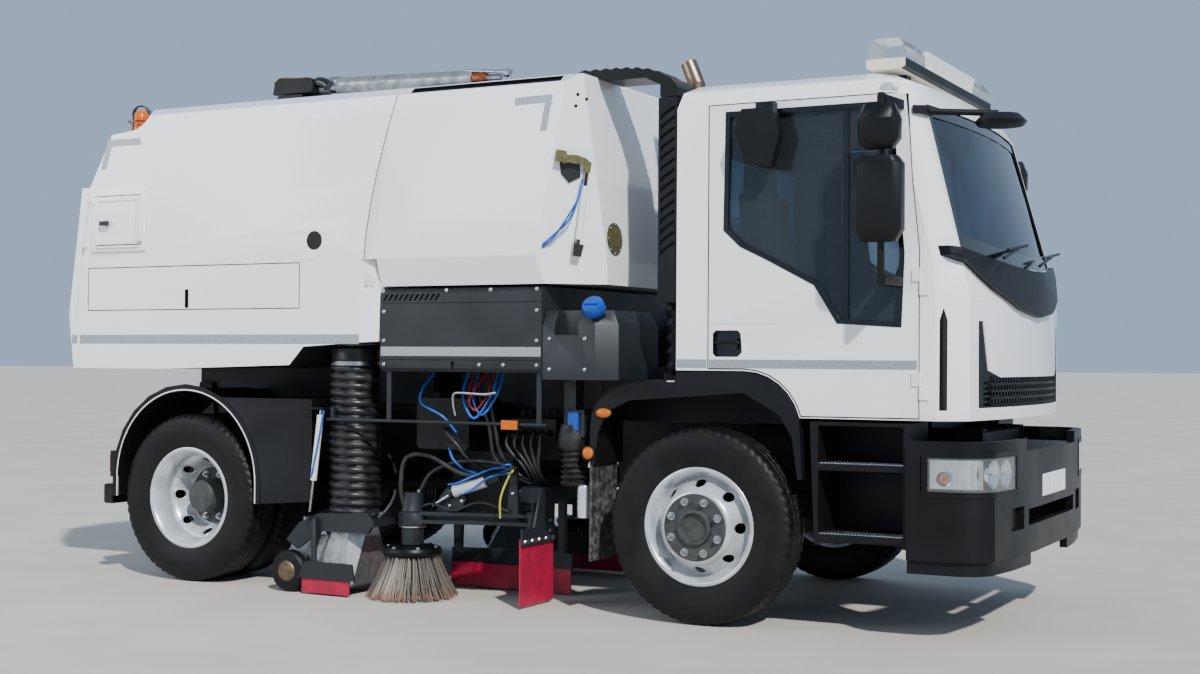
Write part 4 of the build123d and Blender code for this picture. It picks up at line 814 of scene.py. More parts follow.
def hopper_groove(middles, normals):
    """Panel gaps and slots: faces a little under the side's plane or the chamfer's plane."""
    gaps = side_grooves(middles, normals) & ~hatch_frame(middles, normals)
    beyond, above = np.abs(middles[:, 1]) - hopper_wall, middles[:, 2] - chamfer_foot
    off_chamfer = beyond * chamfer_sideways + above * chamfer_up
    slot = (off_chamfer > slot_deep) & (off_chamfer < slot_shallow)
    return gaps | (slot & roof_slot_area(middles, normals))


slit_area = region(x=(2.567, 2.601), side=(1.005, 1.0495), z=(1.109, 1.601))


def corner_slit(middles, normals):
    """The slit beside the grille, but not the cab's slanted skin, whose normal is 0.65 sideways."""
    square = np.abs(np.abs(normals[:, 1]) - 0.65) > 0.3
    return square & slit_area(middles, normals)


inside_hopper = hollow((-1.1, 0.0, 2.05), x=(-2.68, 0.73), side=(-9, 1.2015), z=(-9, 2.80))
inside_cab = hollow((1.85, 0.0, 1.9), side=(-9, 1.012), z=(-9, 2.72))
handle_hollow = region(x=(1.39, 1.57), side=(1.015, 1.0495), z=(1.35, 1.50))
dress("hopper_shell", white_enamel, 3, 30, [
    (slate_powder, low_side), (slate_powder, inside_hopper), (sky_shade_enamel, roof_chamfer),
    (black_moulding, hopper_groove),
])
dress("cab_shell", white_enamel, 5, 40, [(black_moulding, inside_cab), (gloss_black, corner_slit)])
door_zones = [(black_moulding, inside_cab), (gloss_black, handle_hollow)]
for side in ("right", "left"):
    dress(f"door_{side}", white_enamel, 3, 30, door_zones)
print("the hopper, the cab and two doors are dressed")

# %% [markdown]
# ## The hopper's front corner
# The latch gear stands on the hopper's slanted front corner. A small frame of three axes, up
# the corner, across it and out of its plane, makes its regions plain limits again.

# %% The hopper's front corner
corner_foot = np.array([0.465, 1.240, 1.890])
corner_edge = np.array([0.300, -0.240, 0.0])
corner_up = np.array([0.180, 0.0, 0.910]) / math.hypot(0.180, 0.910)
corner_out = np.cross(corner_edge, corner_up)
corner_out *= np.sign(corner_out[1]) / np.linalg.norm(corner_out)
corner_across = corner_edge - corner_up * (corner_up @ corner_edge)
corner_across /= np.linalg.norm(corner_across)
to_right = np.array([1, -1, 1])
latch_rear_x = 0.3
arm_inner, arm_outer, arm_reach, arm_middle, arm_half = 0.022, 0.045, 0.185, 0.49, 0.12
cover_outer, cover_low = 0.012, 0.3
actuator_low, actuator_high, actuator_across, actuator_out, actuator_rod = 0.13, 0.39, 0.202, 0.032, 0.011


def corner_local(middles):
    """A point's distances up the slanted corner, across it, and off its plane."""
    offset = middles * [1, 0, 1] + np.abs(middles) * [0, 1, 0] - corner_foot
    return offset @ corner_up, offset @ corner_across, offset @ corner_out


def corner_point(up, across, out):
    """The right-hand point at distances up the slanted corner, across it, and off its plane."""
    return (corner_foot + (up * corner_up + across * corner_across + out * corner_out)) * to_right


def latch_arm(middles, normals):
    """The olive arm: 22 to 45 mm off the corner's plane, near its top."""
    up, across, out = corner_local(middles)
    raised = (out > arm_inner) & (out < arm_outer) & (middles[:, 0] > latch_rear_x)
    return raised & (across < arm_reach) & (np.abs(up - arm_middle) < arm_half)


def latch_cover(middles, normals):
    """The plate that the arm lies on."""
    up, across, out = corner_local(middles)
    return (out < cover_outer) & (up > cover_low) & (middles[:, 0] > latch_rear_x)


def latch_actuator(middles, normals):
    """The actuator's body: further from its axis than its thin rod is."""
    up, across, out = corner_local(middles)
    thick = np.hypot(across - actuator_across, out - actuator_out) > actuator_rod
    return thick & (up > actuator_low) & (up < actuator_high) & (middles[:, 0] > latch_rear_x)


print("the corner leans back by", round(math.degrees(math.acos(corner_up[2])), 1), "degrees")

# %% [markdown]
# ## Bumper, gear and roof fittings
# The rest of the nodes that carry more than one finish: a scuffed flap on the mudguard, white
# strut bodies on bright rods, bronze caps in the nozzle's wheels, and a light bar of lenses
# on a cream base.

# %% Bumper, gear and roof fittings
strut_foot, strut_head, strut_y = np.array([-1.035, 0.430]), np.array([-0.958, 1.050]), 1.186
strut_rod = 0.010
nozzle_wheel_x, nozzle_wheel_z, hub_radius, hub_inner_y = -1.195, 0.120, 0.056, 1.18
vent_x, vent_z, vent_radius = -0.975, 2.005, 0.06
light_bar_foot, light_bar_base, light_bar_lens = 2.791, 2.8485, 0.465


def strut_body(middles, normals):
    """Faces further from the strut's axis than its rod is: distance = |offset x direction|."""
    along = (strut_head - strut_foot) / np.linalg.norm(strut_head - strut_foot)
    offset = middles[:, [0, 2]] - strut_foot
    across = offset[:, 0] * along[1] - offset[:, 1] * along[0]
    return np.hypot(across, np.abs(middles[:, 1]) - strut_y) > strut_rod


def wheel_hub_face(middles, normals):
    """The cap within 56 mm of the nozzle wheel's axis, on its outer side."""
    reach = np.hypot(middles[:, 0] - nozzle_wheel_x, middles[:, 2] - nozzle_wheel_z)
    return (reach < hub_radius) & (np.abs(middles[:, 1]) > hub_inner_y)


def vent_pipe(middles, normals):
    """The round vent in the hopper's side."""
    return np.hypot(middles[:, 0] - vent_x, middles[:, 2] - vent_z) < vent_radius


def cream_base(middles, normals):
    """The light bar's base, but not its front face."""
    return region(z=(light_bar_foot, light_bar_base))(middles, normals) & (normals[:, 0] < 0.3)


mud_flap = region(x=(-9, 0.7135), z=(-9, 0.75))
hatch_rail = region(x=(-2.75, -2.66), z=(-9, 2.4))
hatch_handle = region(x=(-2.578, -2.502), side=(1.2505, 9), z=(2.134, 2.166))
bar_lens = region(side=(light_bar_lens, 9), z=(light_bar_base, 9))
bar_sign = region(side=(-9, light_bar_lens), z=(light_bar_base, 9))
boom_swivel = region(x=(-9, -1.85), z=(-9, 3.078))
dress("front_bumper", black_moulding, 8, 30)
dress("side_hatch", white_enamel, 3, 30, [(gloss_black, hatch_handle)])
dress("front_mudguards", black_moulding, 6, 40, [(worn_flap, mud_flap)])
dress("lift_struts", bright_zinc, 1, 50, [(white_enamel, strut_body)])
for side in ("right", "left"):
    dress(f"nozzle_wheel_{side}", tyre_rubber, 3, 40, [(bronze_hub, wheel_hub_face)])
dress("light_bar", black_moulding, 4, 30, [
    (cream_board, cream_base), (clear_lens, bar_lens), (blank_plate, bar_sign),
])
dress("hopper_fittings", gloss_black, 1.5, 40, [
    (olive_zinc, latch_arm), (slate_powder, latch_cover), (white_enamel, latch_actuator),
    (white_enamel, hatch_rail), (frame_paint, vent_pipe),
])
dress("roof_boom", tube_grey, 1, 40, [(black_moulding, boom_swivel)])
dress("beacon", amber_lens, 2, 40)

# %% [markdown]
# ## Tyres
# A truck tyre is a ring whose outline bulges at the sidewall and is almost flat at the
# tread. The grid runs round the wheel and across the outline, and the tread is cut by
# lowering the radius along zigzag grooves and at notches on the shoulders. A bump map could
# show a tread as well, but real grooves are also seen at the tyre's edge.

# %% Tyres
front_axle_x, rear_axle_x, axle_z = 1.345, -1.985, 0.5
front_wheel_y, twin_outer_y, twin_inner_y = -0.993, -1.023, -0.723
# half outline from the bead to the crown: offset from the middle plane, radius
tyre_side = np.array([
    (0.094, 0.287), (0.103, 0.300), (0.1165, 0.340), (0.1255, 0.385), (0.1265, 0.410), (0.1225, 0.445),
    (0.115, 0.470), (0.108, 0.486), (0.099, 0.4945), (0.088, 0.4985), (0.060, 0.4998), (0.0, 0.5),
])
tread_radius, shoulder_offset = 0.478, 0.074
groove_lines, groove_half, groove_depth = (-0.045, 0.0, 0.045), 0.007, 0.012
zigzags, zigzag_swing = 48, 0.004
notches, notch_half, notch_depth = 60, 0.24, 0.009
# moulded rings on the sidewall: radius, half width
wall_rings, ring_rise = [(0.327, 0.005), (0.452, 0.004)], 0.0016
crowding = 0.35


def pulse(distance, half_width):
    """1 at no distance, falling smoothly to 0 at the half width."""
    share = np.clip(1 - np.abs(distance) / half_width, 0, 1)
    return share * share * (3 - 2 * share)


def tyre(axle_x, middle_y, steps=300, across=74):
    """The outline by arc length, carried round; depth = zigzag grooves + shoulder notches."""
    outline = rounded(np.vstack([tyre_side, tyre_side[-2::-1] * [-1, 1]]), 1, closed=False)
    run = np.concatenate([[0], np.cumsum(np.linalg.norm(np.diff(outline, axis=0), axis=1))])
    # a straight run plus a share of its cube puts more points near the crown
    reach = np.linspace(-1, 1, across)
    share = (reach + crowding * reach**3) / (1 + crowding) * 0.5 + 0.5
    offset, radius = (np.interp(share * run[-1], run, outline[:, k]) for k in (0, 1))
    angle = np.linspace(0, 2 * np.pi, steps, endpoint=False)[:, None]
    zigzag = zigzag_swing * np.sin(zigzags * angle)
    grooves = sum(pulse(offset - line - zigzag, groove_half) for line in groove_lines)
    turn = np.mod(angle * notches / (2 * np.pi), 1)
    notch = pulse(np.abs(turn - 0.5), notch_half) * (np.abs(offset) > shoulder_offset)
    on_tread = (radius > tread_radius).astype(float)
    r = radius - on_tread * (groove_depth * np.clip(grooves, 0, 1) + notch_depth * notch)
    ridge = ring_rise * sum(pulse(radius - at, half) for at, half in wall_rings) * np.sign(offset)
    y = middle_y + offset + ridge + 0 * angle
    points = np.stack([axle_x + r * np.cos(angle), y, axle_z + r * np.sin(angle)], -1)
    return points.reshape(-1, 3), grid_quads(steps, across, True, True)


front_tyre = tyre(front_axle_x, front_wheel_y)
rear_pair = joined(tyre(rear_axle_x, twin_outer_y), tyre(rear_axle_x, twin_inner_y))
tyre_rows = [("front_tyre", front_tyre, "front_wheel_{}"), ("rear_tyres", rear_pair, "rear_wheels_{}")]
for name, shape, body in tyre_rows:
    add_pair(name, shape, tyre_rubber, body, "tyre_rubber", [name + "_{}"], smooth_angle=45)
tell("tyres")

# %% [markdown]
# ## Pressed wheels
# The disc is pressed from plate: flat at the studs, then a smooth shoulder down to the rim,
# with eight oval hand holes. Each eighth of the disc is a grid between the hole's oval and
# the edge of its sector, so the hole needs no cutting.

# %% Pressed wheels
rim_outline = rounded([
    (0.302, -0.107), (0.302, -0.0985), (0.284, -0.096), (0.256, -0.03), (0.256, 0.03), (0.284, 0.096),
    (0.302, 0.0985), (0.302, 0.107), (0.277, 0.107), (0.247, 0.032), (0.247, -0.032), (0.277, -0.107),
], 2)
disc_bore, disc_inner, disc_flat, disc_edge = 0.100, 0.15, 0.172, 0.256
disc_out, disc_foot, plate, shoulder_power = 0.138, 0.03, 0.012, 0.9
holes, hole_circle, hole_half_width, hole_half_depth = 8, 0.217, 0.031, 0.021
# the sector's edge is a circle stretched by this much and clipped square
edge_stretch = 1.5


def disc_height(radius):
    """Flat to the edge of the flat, then a cosine shoulder that falls to the rim."""
    share = np.clip((radius - disc_flat) / (disc_edge - disc_flat), 0, 1)
    return disc_out - (disc_out - disc_foot) * (0.5 - 0.5 * np.cos(np.pi * share)) ** shoulder_power


def wheel_disc(axle_x, middle_y, out, around=56, rows=8):
    """Sector grids from oval to edge: (1 - t) x oval + t x edge, in angle and radius."""
    turn = np.linspace(0, 2 * np.pi, around, endpoint=False)[None, :]
    t = np.concatenate([[0.0, 0.0], np.linspace(0, 1, rows)[1:]])[:, None]
    edge_angle = np.pi / holes * np.clip(edge_stretch * np.cos(turn), -1, 1)
    edge_sine = np.clip(edge_stretch * np.sin(turn), -1, 1)
    room = np.where(edge_sine > 0, disc_edge - hole_circle, hole_circle - disc_inner)
    angle = (1 - t) * hole_half_width / hole_circle * np.cos(turn) + t * edge_angle
    radius = (1 - t) * (hole_circle + hole_half_depth * np.sin(turn)) + t * (hole_circle + room * edge_sine)
    sunk = np.zeros_like(radius)
    sunk[0] = plate
    y = middle_y + out * (disc_height(radius) - sunk)
    quads = grid_quads(*radius.shape, False, True)
    shapes = []
    for sector in range(holes):
        a = angle + sector * 2 * np.pi / holes
        points = np.stack([axle_x + radius * np.cos(a), y, axle_z + radius * np.sin(a)], -1)
        shapes.append((points.reshape(-1, 3), quads))
    flat = np.array([(disc_bore, disc_out - plate), (disc_bore, disc_out), (disc_inner, disc_out)])
    ring = turned(flat * [1, out] + [0, middle_y], 14 * holes, "y", (axle_x, 0, axle_z))
    return joined(*shapes, ring)


print("a disc has", len(wheel_disc(0, 0, 1)[1]), "quads")

# %% [markdown]
# ## Nuts and hubs
# The wheel is held by eight nuts on studs, each with its washer, on a stud circle of 275 mm.
# Hubs and brake drums are castings turned on a lathe, so they are lathe shapes here too.

# %% Nuts and hubs
hexagon = np.array([(math.cos(k * math.pi / 3), math.sin(k * math.pi / 3)) for k in range(6)])
stud = [(0, 0.0), (0.0085, 0.0), (0.0085, 0.030), (0.006, 0.034), (0, 0.034)]
wheel_nut = joined(prism(hexagon * 0.0165, 0.0, 0.020), peg(0.021, 0.004, 18), turned(stud, 12, "z"))
stud_radius = 0.1375
front_hub = [
    (0, 0.01), (0.102, 0.01), (0.102, 0.122), (0.166, 0.122), (0.170, 0.126), (0.170, 0.146),
    (0.166, 0.150), (0.094, 0.150), (0.090, 0.165), (0.084, 0.168), (0.074, 0.167), (0.066, 0.150),
    (0.03, 0.146), (0, 0.146),
]
rear_hub = [
    (0, -0.06), (0.102, -0.06), (0.102, -0.026), (0.168, -0.026), (0.170, 0.026), (0.166, 0.030),
    (0.106, 0.030), (0.101, 0.06), (0.096, 0.14), (0.088, 0.150), (0.03, 0.151), (0, 0.151),
]
drum_outline = np.array([(0.165, -0.02), (0.228, -0.02), (0.232, -0.01), (0.232, 0.06), (0.165, 0.06)])


def nut_circle(axle_x, face_y, count=8):
    """Nuts on the stud circle, standing out to the right from the flange."""
    angle = np.linspace(0, 2 * np.pi, count, endpoint=False) + np.pi / count
    x, z = axle_x + stud_radius * np.cos(angle), axle_z + stud_radius * np.sin(angle)
    middles = np.stack([x, 0 * angle + face_y, z], -1)
    return copies(wheel_nut, places(middles, (1, 0, 0), (0, 0, 1), (0, -1, 0)))


def wheel_parts(name, axle_x, rims, hub, hub_y, nut_y, body, node):
    """Rims, discs, hub, nuts and drum of one right-hand wheel, and their mirror images."""
    centre = (axle_x, 0, axle_z)
    rim_shapes = [turned(rim_outline + [0, y], 96, "y", centre) for y, out in rims]
    add_pair(f"{name}_rim", joined(*rim_shapes), wheel_silver, body, "wheel_silver", [node])
    for number, (y, out) in enumerate(rims):
        disc = wheel_disc(axle_x, y, out)
        add_pair(f"{name}_disc_{number}", disc, wheel_silver, body, "wheel_silver", wall_mm=10)
    hub_shape = turned(np.array(hub) * [1, -1] + [0, hub_y], 64, "y", centre)
    add_pair(f"{name}_hub", hub_shape, hub_iron, body, "chassis_paint")
    add_pair(f"{name}_nuts", nut_circle(axle_x, nut_y), bright_zinc, body, "bare_steel")
    drum = turned(drum_outline + [0, rims[-1][0] + 0.02], 48, "y", centre)
    add_pair(f"{name}_drum", drum, frame_paint, body, "chassis_paint")


front_rims, rear_rims = [(front_wheel_y, -1)], [(twin_outer_y, 1), (twin_inner_y, -1)]
wheel_parts(
    "front_wheel", front_axle_x, front_rims, front_hub, front_wheel_y, -1.143,
    "front_wheel_{}", "front_rim_{}",
)
wheel_parts(
    "rear_wheel", rear_axle_x, rear_rims, rear_hub, -0.873, -0.903,
    "rear_wheels_{}", "rear_rims_{}",
)
tell("wheels")

# %% [markdown]
# ## Suction tubes
# The tube is rubber over a wire coil, so its ribs run round as a screw, not as rings. The
# radius follows the height plus a share of the turn: r = core + rib x |sin(pi (n z + a / 2 pi))|,
# raised to a power below one, which makes the ribs broad and the grooves narrow.

# %% Suction tubes
tube_x, tube_y, tube_foot, tube_head, tube_coils = -0.855, -1.0, 0.44, 1.395, 18
tube_core, tube_rib, rib_power = 0.127, 0.019, 0.7
collar_radius, collar_height, collar_edge, bore_radius = 0.137, 0.10, 0.004, 0.121


def suction_tube(steps=60, rows_per_coil=8):
    """A screw-ribbed wall with a smooth collar at its head, closed by a plain bore."""
    collar = tube_head - collar_height
    ribbed_z = np.linspace(tube_foot, collar, tube_coils * rows_per_coil)
    z = np.concatenate([ribbed_z, [collar + collar_edge, tube_head - collar_edge, tube_head]])
    angle = np.linspace(0, 2 * np.pi, steps, endpoint=False)[None, :]
    phase = (z[:, None] - tube_foot) / (collar - tube_foot) * tube_coils + angle / (2 * np.pi)
    ribs = tube_core + tube_rib * np.abs(np.sin(np.pi * phase)) ** rib_power
    outer = np.where(z[:, None] > collar + collar_edge / 4, collar_radius, ribs)
    radius = np.vstack([outer, np.full((2, steps), bore_radius)])
    height = np.concatenate([z, [tube_head, tube_foot]])[:, None] + 0 * angle
    points = np.stack([tube_x + radius * np.cos(angle), tube_y + radius * np.sin(angle), height], -1)
    return points.reshape(-1, 3), grid_quads(len(height), steps, True, True)


def band(inner, outer, foot):
    """A clamp band about 20 mm high round the tube."""
    high = foot + (0.022 if foot > 1 else 0.020)
    outline = [(inner, foot), (outer, foot), (outer, high), (inner, high)]
    return turned(outline, 48, "z", (tube_x, tube_y, 0))


add_piece(
    "suction_tubes_ribbed", both(suction_tube()), hose_rubber, "chassis", "black_rubber",
    smooth_angle=60, replaces=["suction_tubes"],
)
clamps = joined(band(0.138, 0.1415, 1.300), band(0.128, 0.150, 0.442))
add_pair("suction_tube_clamps", clamps, bright_zinc, "chassis", "bare_steel")
tell("suction tubes")

# %% [markdown]
# ## Side brooms
# A broom is a steel dish with tufts of flat spring wire. Each wire leans outwards and bends
# more towards its tip, and the tips are rusty. All the wires of a broom are one array of
# paths, given three-sided sections, so that six hundred wires stay light. Hair particles
# would comb more easily, but they leave no mesh to export.

# %% Side brooms
rust_top, rust_full, rust_grain_mm = 0.075, 0.01, 1000 / 90


def bristle_wire():
    """Worn spring wire: dull steel that turns to rust at its tip, by mask = lowness x noise."""
    material, tree, shader, place = shader_of("rust_tipped_spring_wire", Metallic=0.35)
    height = add_node(tree, "ShaderNodeSeparateXYZ", {0: place}).outputs[2]
    reach = {"From Min": rust_top, "From Max": rust_full}
    tip = add_node(tree, "ShaderNodeMapRange", {"Value": height, **reach}).outputs[0]
    grain = noise(tree, place, rust_grain_mm, 4.0).outputs["Fac"]
    share = add_node(tree, "ShaderNodeMath", {0: tip, 1: grain}, operation="MULTIPLY").outputs[0]
    set_finish(tree, shader, ("#5E574D", "#7A3F1D"), share, (0.42, 0.8), grain, 0.3)
    return material


broom_x, broom_y, broom_tufts, wires_per_tuft = -0.455, -1.0, 28, 22
wire_top, wire_radius, wire_points = 0.252, 0.0021, 7


def broom_wires():
    """radius(t) and height(t) from the dish to the floor, with the turn drifting by t squared.

    The wires leave the dish 100 to 150 mm from its middle, by row, and spread 88 to 114 mm.
    """
    random = np.random.default_rng(11)
    shape = (broom_tufts, wires_per_tuft)
    middle = np.arange(broom_tufts)[:, None] * 2 * np.pi / broom_tufts
    turn = middle + random.uniform(-0.085, 0.085, shape) + random.normal(0, 0.012, shape)
    row = random.uniform(0, 1, shape).reshape(-1, 1)
    lean = random.normal(0, 0.05, shape).reshape(-1, 1)
    drop = random.uniform(0.235, 0.243, shape).reshape(-1, 1)
    t = np.linspace(0, 1, wire_points)[None, :]
    radius = 0.100 + 0.050 * row + (0.088 + 0.026 * row) * t**1.25 + 0.010 * lean * t
    angle = turn.reshape(-1, 1) + lean * t**2
    height = wire_top - drop * t
    paths = np.stack([broom_x + radius * np.cos(angle), broom_y + radius * np.sin(angle), height], -1)
    return tubes(paths, wire_radius, 3)


add_pair(
    "broom_wires", broom_wires(), bristle_wire(), "broom_{}", "bristle_steel", ["broom_{}"], smooth_angle=80
)
tell("broom wires")

# %% [markdown]
# ## The broom's dish
# The dish is pressed steel on a shaft, held by six bolts. It is one lathe outline that ends
# in the shaft, so dish and shaft can't come apart.

# %% The broom's dish
broom_dish = [
    (0, 0.236), (0.148, 0.236), (0.160, 0.242), (0.168, 0.254), (0.168, 0.268), (0.158, 0.284),
    (0.128, 0.292), (0.062, 0.294), (0.056, 0.297), (0.019, 0.298), (0.0195, 0.388), (0, 0.388),
]
dish = turned(broom_dish, 56, "z", (broom_x, broom_y, 0))
add_pair("broom_dish", dish, black_moulding, "broom_{}", "black_plastic")
bolt = joined(prism(hexagon * 0.010, 0.0, 0.008), peg(0.014, 0.002, 14, foot=-0.002))
bolt_turns = np.arange(6) * np.pi / 3 + 0.3
bolt_x, bolt_y = broom_x + 0.138 * np.cos(bolt_turns), broom_y + 0.138 * np.sin(bolt_turns)
dish_bolts = copies(bolt, places(np.stack([bolt_x, bolt_y, 0.287 + 0 * bolt_turns], -1)))
add_pair("broom_dish_bolts", dish_bolts, bright_zinc, "broom_{}", "bare_steel")
tell("brooms")

# %% [markdown]
# ## A sheet behind the hopper's step
# The hopper's side steps in where its skirt begins, and the real panels lap there. A folded
# sheet under the step closes the lap from inside, so that no light shows through it.

# %% A sheet behind the hopper's step
step_x, step_z, sheet_thickness, sheet_gap = (-0.668, -0.535), (1.728, 1.895), 0.008, 0.0012
# the step starts at this x and comes in 1 in 2, and the skirt leans out 1 in 3 above this edge
step_start_x, step_run, skirt_y, skirt_z, skirt_run = -0.655, 2, 1.190, 1.740, 3


def step_backing(steps=13):
    """A sheet behind the step: |y| = the lower of the step's and the skirt's slopes."""
    x = np.linspace(*step_x, steps)[:, None]
    z = np.linspace(*step_z, steps)[None, :]
    step_face = hopper_wall - (x - step_start_x) / step_run
    skirt_face = skirt_y + (z - skirt_z) / skirt_run
    outer = np.minimum(np.minimum(step_face, skirt_face), hopper_wall) - sheet_gap
    sheet = np.stack([x + 0 * z, -outer, z + 0 * x], -1)
    back = sheet + [0, sheet_thickness, 0]
    last = steps * steps
    front_quads, back_quads = grid_quads(steps, steps), grid_quads(steps, steps)[:, ::-1] + last
    edge = np.concatenate([
        np.arange(steps), np.arange(2 * steps - 1, last, steps), np.arange(last - 2, last - steps - 1, -1),
        np.arange(last - 2 * steps, 0, -steps),
    ])
    ahead = np.roll(edge, -1)
    rim = np.stack([edge, ahead, ahead + last, edge + last], 1)
    points = np.concatenate([sheet.reshape(-1, 3), back.reshape(-1, 3)])
    return points, np.concatenate([front_quads, back_quads, rim])


add_pair("step_backing", step_backing(), white_enamel, "hopper", "white_paint")
tell("step sheets")

# %% [markdown]
# ## Tape and corner marks
# Sweepers carry a grey reflective stripe along each side and an angle mark at the corners of
# the hopper. They are cut from film about half a millimetre thick, so they are thin plates.
# An image on the side could show them too, but a plate has its own finish and stays sharp.

# %% Tape and corner marks
film = 0.0006
enclosure_side, cab_side = 1.200, 1.050
hopper_band, cab_band, enclosure_band = (1.420, 1.474), (1.303, 1.347), (1.356, 1.406)
corner_marks = [
    [(-2.549, 2.663), (-2.604, 2.482), (-2.560, 2.482), (-2.517, 2.620), (-2.514, 2.6625)],
    [(-2.514, 2.6625), (-2.517, 2.620), (-2.282, 2.618), (-2.282, 2.660)],
    [(0.337, 2.721), (0.337, 2.680), (0.519, 2.684), (0.524, 2.725)],
    [(0.524, 2.725), (0.519, 2.684), (0.489, 2.536), (0.529, 2.536), (0.567, 2.726)],
]


def stripe(x_rear, x_front, heights, plane):
    """A strip of film on a side, between two x values and two heights."""
    return box((x_rear, -plane - film, heights[0]), (x_front, -plane, heights[1]))


marks = [side_panel(mark, hopper_wall, hopper_wall + film) for mark in corner_marks]
for name, body, shapes in (
    ("hopper_tape", "hopper", [stripe(-2.764, -0.660, hopper_band, hopper_wall), *marks]),
    ("rear_door_tape", "rear_door", [stripe(-2.830, -2.784, hopper_band, hopper_wall)]),
    ("enclosure_tape", "chassis", [stripe(-0.540, 0.480, enclosure_band, enclosure_side)]),
    ("cab_tape", "chassis", [stripe(1.198, 1.366, cab_band, cab_side)]),
):
    add_piece(name, both(*shapes), grey_tape, body, "bare_steel")
add_pair("door_tape", stripe(1.379, 2.462, cab_band, cab_side), grey_tape, "door_{}", "bare_steel")
tell("tape")

# %% [markdown]
# ## Door windows
# The door glass is bonded behind a black ceramic border and split by an upright bar. The
# border is a frame of even width inside the window's outline, found by moving each corner
# along its two sides' normals. The handle is a bar bowed out from a hollow.

# %% Door windows
window_outline = [
    (1.465, 2.600), (1.455, 2.000), (1.545, 1.915), (1.690, 1.845), (1.940, 1.715), (2.060, 1.525),
    (2.385, 1.505), (2.400, 1.860), (2.335, 2.600),
]
seal = side_ring(window_outline, 0.026, 1.027, 1.053)
divider = box((2.082, -1.041, 1.52), (2.116, -1.034, 2.59))
handle = hose([
    (1.415, -1.036, 1.43), (1.425, -1.052, 1.432), (1.48, -1.057, 1.436), (1.535, -1.052, 1.432),
    (1.545, -1.036, 1.43),
], 0.0085, 12, samples=12)
add_pair("window_seal", seal, gloss_black, "door_{}", "black_plastic", bevel_mm=2)
add_pair("window_divider", divider, gloss_black, "door_{}", "black_plastic", bevel_mm=2)
add_pair("door_handle", handle, black_moulding, "door_{}", "black_plastic")
tell("door windows")

# %% [markdown]
# ## Windscreen and grille
# The screen has a black printed edge, and a plastic honeycomb fills the grille. Both follow
# the bowed front of the cab, whose x is a parabola across the cab and straight between a few
# heights: x = centre - (centre - corner) x (y / corner y) squared. So one function places both.

# %% Windscreen and grille
# cab front: height, half width, x of the corner, x on the centre line
cab_front_rows = np.array([
    (1.060, 1.05, 2.690, 2.790), (1.640, 1.05, 2.690, 2.785), (1.860, 1.05, 2.645, 2.735),
    (2.630, 1.05, 2.430, 2.506), (2.715, 1.015, 2.375, 2.440),
])
corner_share = 0.9
# the glass: its foot bows up to the sides, and its sides lean in towards the head
foot_z, foot_bow, foot_half, foot_extra, head_z, head_half = 1.832, 0.058, 0.925, 0.02, 2.598, 0.868
side_y, side_lean, side_foot_z, side_height = 0.927, 0.057, 1.892, 0.704
border_depths = (0.0085, 0.0115)


def cab_front(y, z):
    """The x of the cab's front at a distance across and a height."""
    half_width, corner, centre = (np.interp(z, cab_front_rows[:, 0], cab_front_rows[:, k]) for k in (1, 2, 3))
    return centre - (centre - corner) * (y / (corner_share * half_width)) ** 2


def screen_band(width=0.055, steps=24):
    """The black edge of the screen: four strips on the glass, each a grid across its width."""
    rise = np.linspace(0, 1, steps)[:, None]
    share = np.linspace(0, 1, 2)[None, :]
    flat = 0 * (rise + share)
    across = 2 * rise - 1
    foot, side = foot_z + foot_bow * across**2, side_y - side_lean * rise
    edges = [
        (across * foot_half + flat, foot + (width + foot_extra) * share),
        (across * head_half + flat, head_z - width * share + flat),
    ]
    up_sides = side_foot_z + side_height * rise + flat
    edges += [(sign * (side - width * share), up_sides) for sign in (-1, 1)]
    shapes = []
    for y, z in edges:
        front, back = (np.stack([cab_front(y, z) - sunk, y, z], -1) for sunk in border_depths)
        shapes.append(capped(np.concatenate([front, back[:, ::-1]], 1)))
    return joined(*shapes)


# rows of cells stand this share of the pitch apart, and neighbours overlap a little
row_share, cell_overlap, cell_depths = 0.866, 0.0004, (0.003, 0.012)


def honeycomb(half_width, low, high, pitch=0.040, bar_width=0.006):
    """Six-sided cells in staggered rows, each a ring on the cab's front, 9 mm deep."""
    rows = np.arange(low + pitch / 2, high, pitch * row_share)
    columns = np.arange(-half_width, half_width, pitch)
    y = (columns[None, :] + (np.arange(len(rows)) % 2)[:, None] * pitch / 2).ravel()
    z = np.repeat(rows, len(columns))
    turn = np.arange(6) * np.pi / 3 + np.pi / 6
    outer = pitch / math.sqrt(3) + cell_overlap
    inner = outer - bar_width
    radius = np.array([outer, inner, inner, outer])[:, None]
    depth = np.repeat(cell_depths, 2)[:, None]
    across = y[:, None, None] + radius * np.cos(turn)
    height = z[:, None, None] + radius * np.sin(turn)
    points = np.stack([cab_front(across, height) - depth, across, height], -1)
    starts = 24 * np.arange(len(y))[:, None, None]
    return points.reshape(-1, 3), (grid_quads(4, 6, True, True)[None] + starts).reshape(-1, 4)


add_piece("windscreen_border", screen_band(), gloss_black, "chassis", "black_plastic")
mesh_grille = honeycomb(0.70, 1.128, 1.262)
add_piece("grille_mesh", mesh_grille, black_moulding, "chassis", "black_plastic", smooth_angle=20)
tell("cab front")

# %% [markdown]
# ## A path round the bumper's corner
# The headlamp wraps round the bumper's corner, so the bumper's plan is a path here, and the
# cover, the housing and the reflectors are all placed by the distance along it.

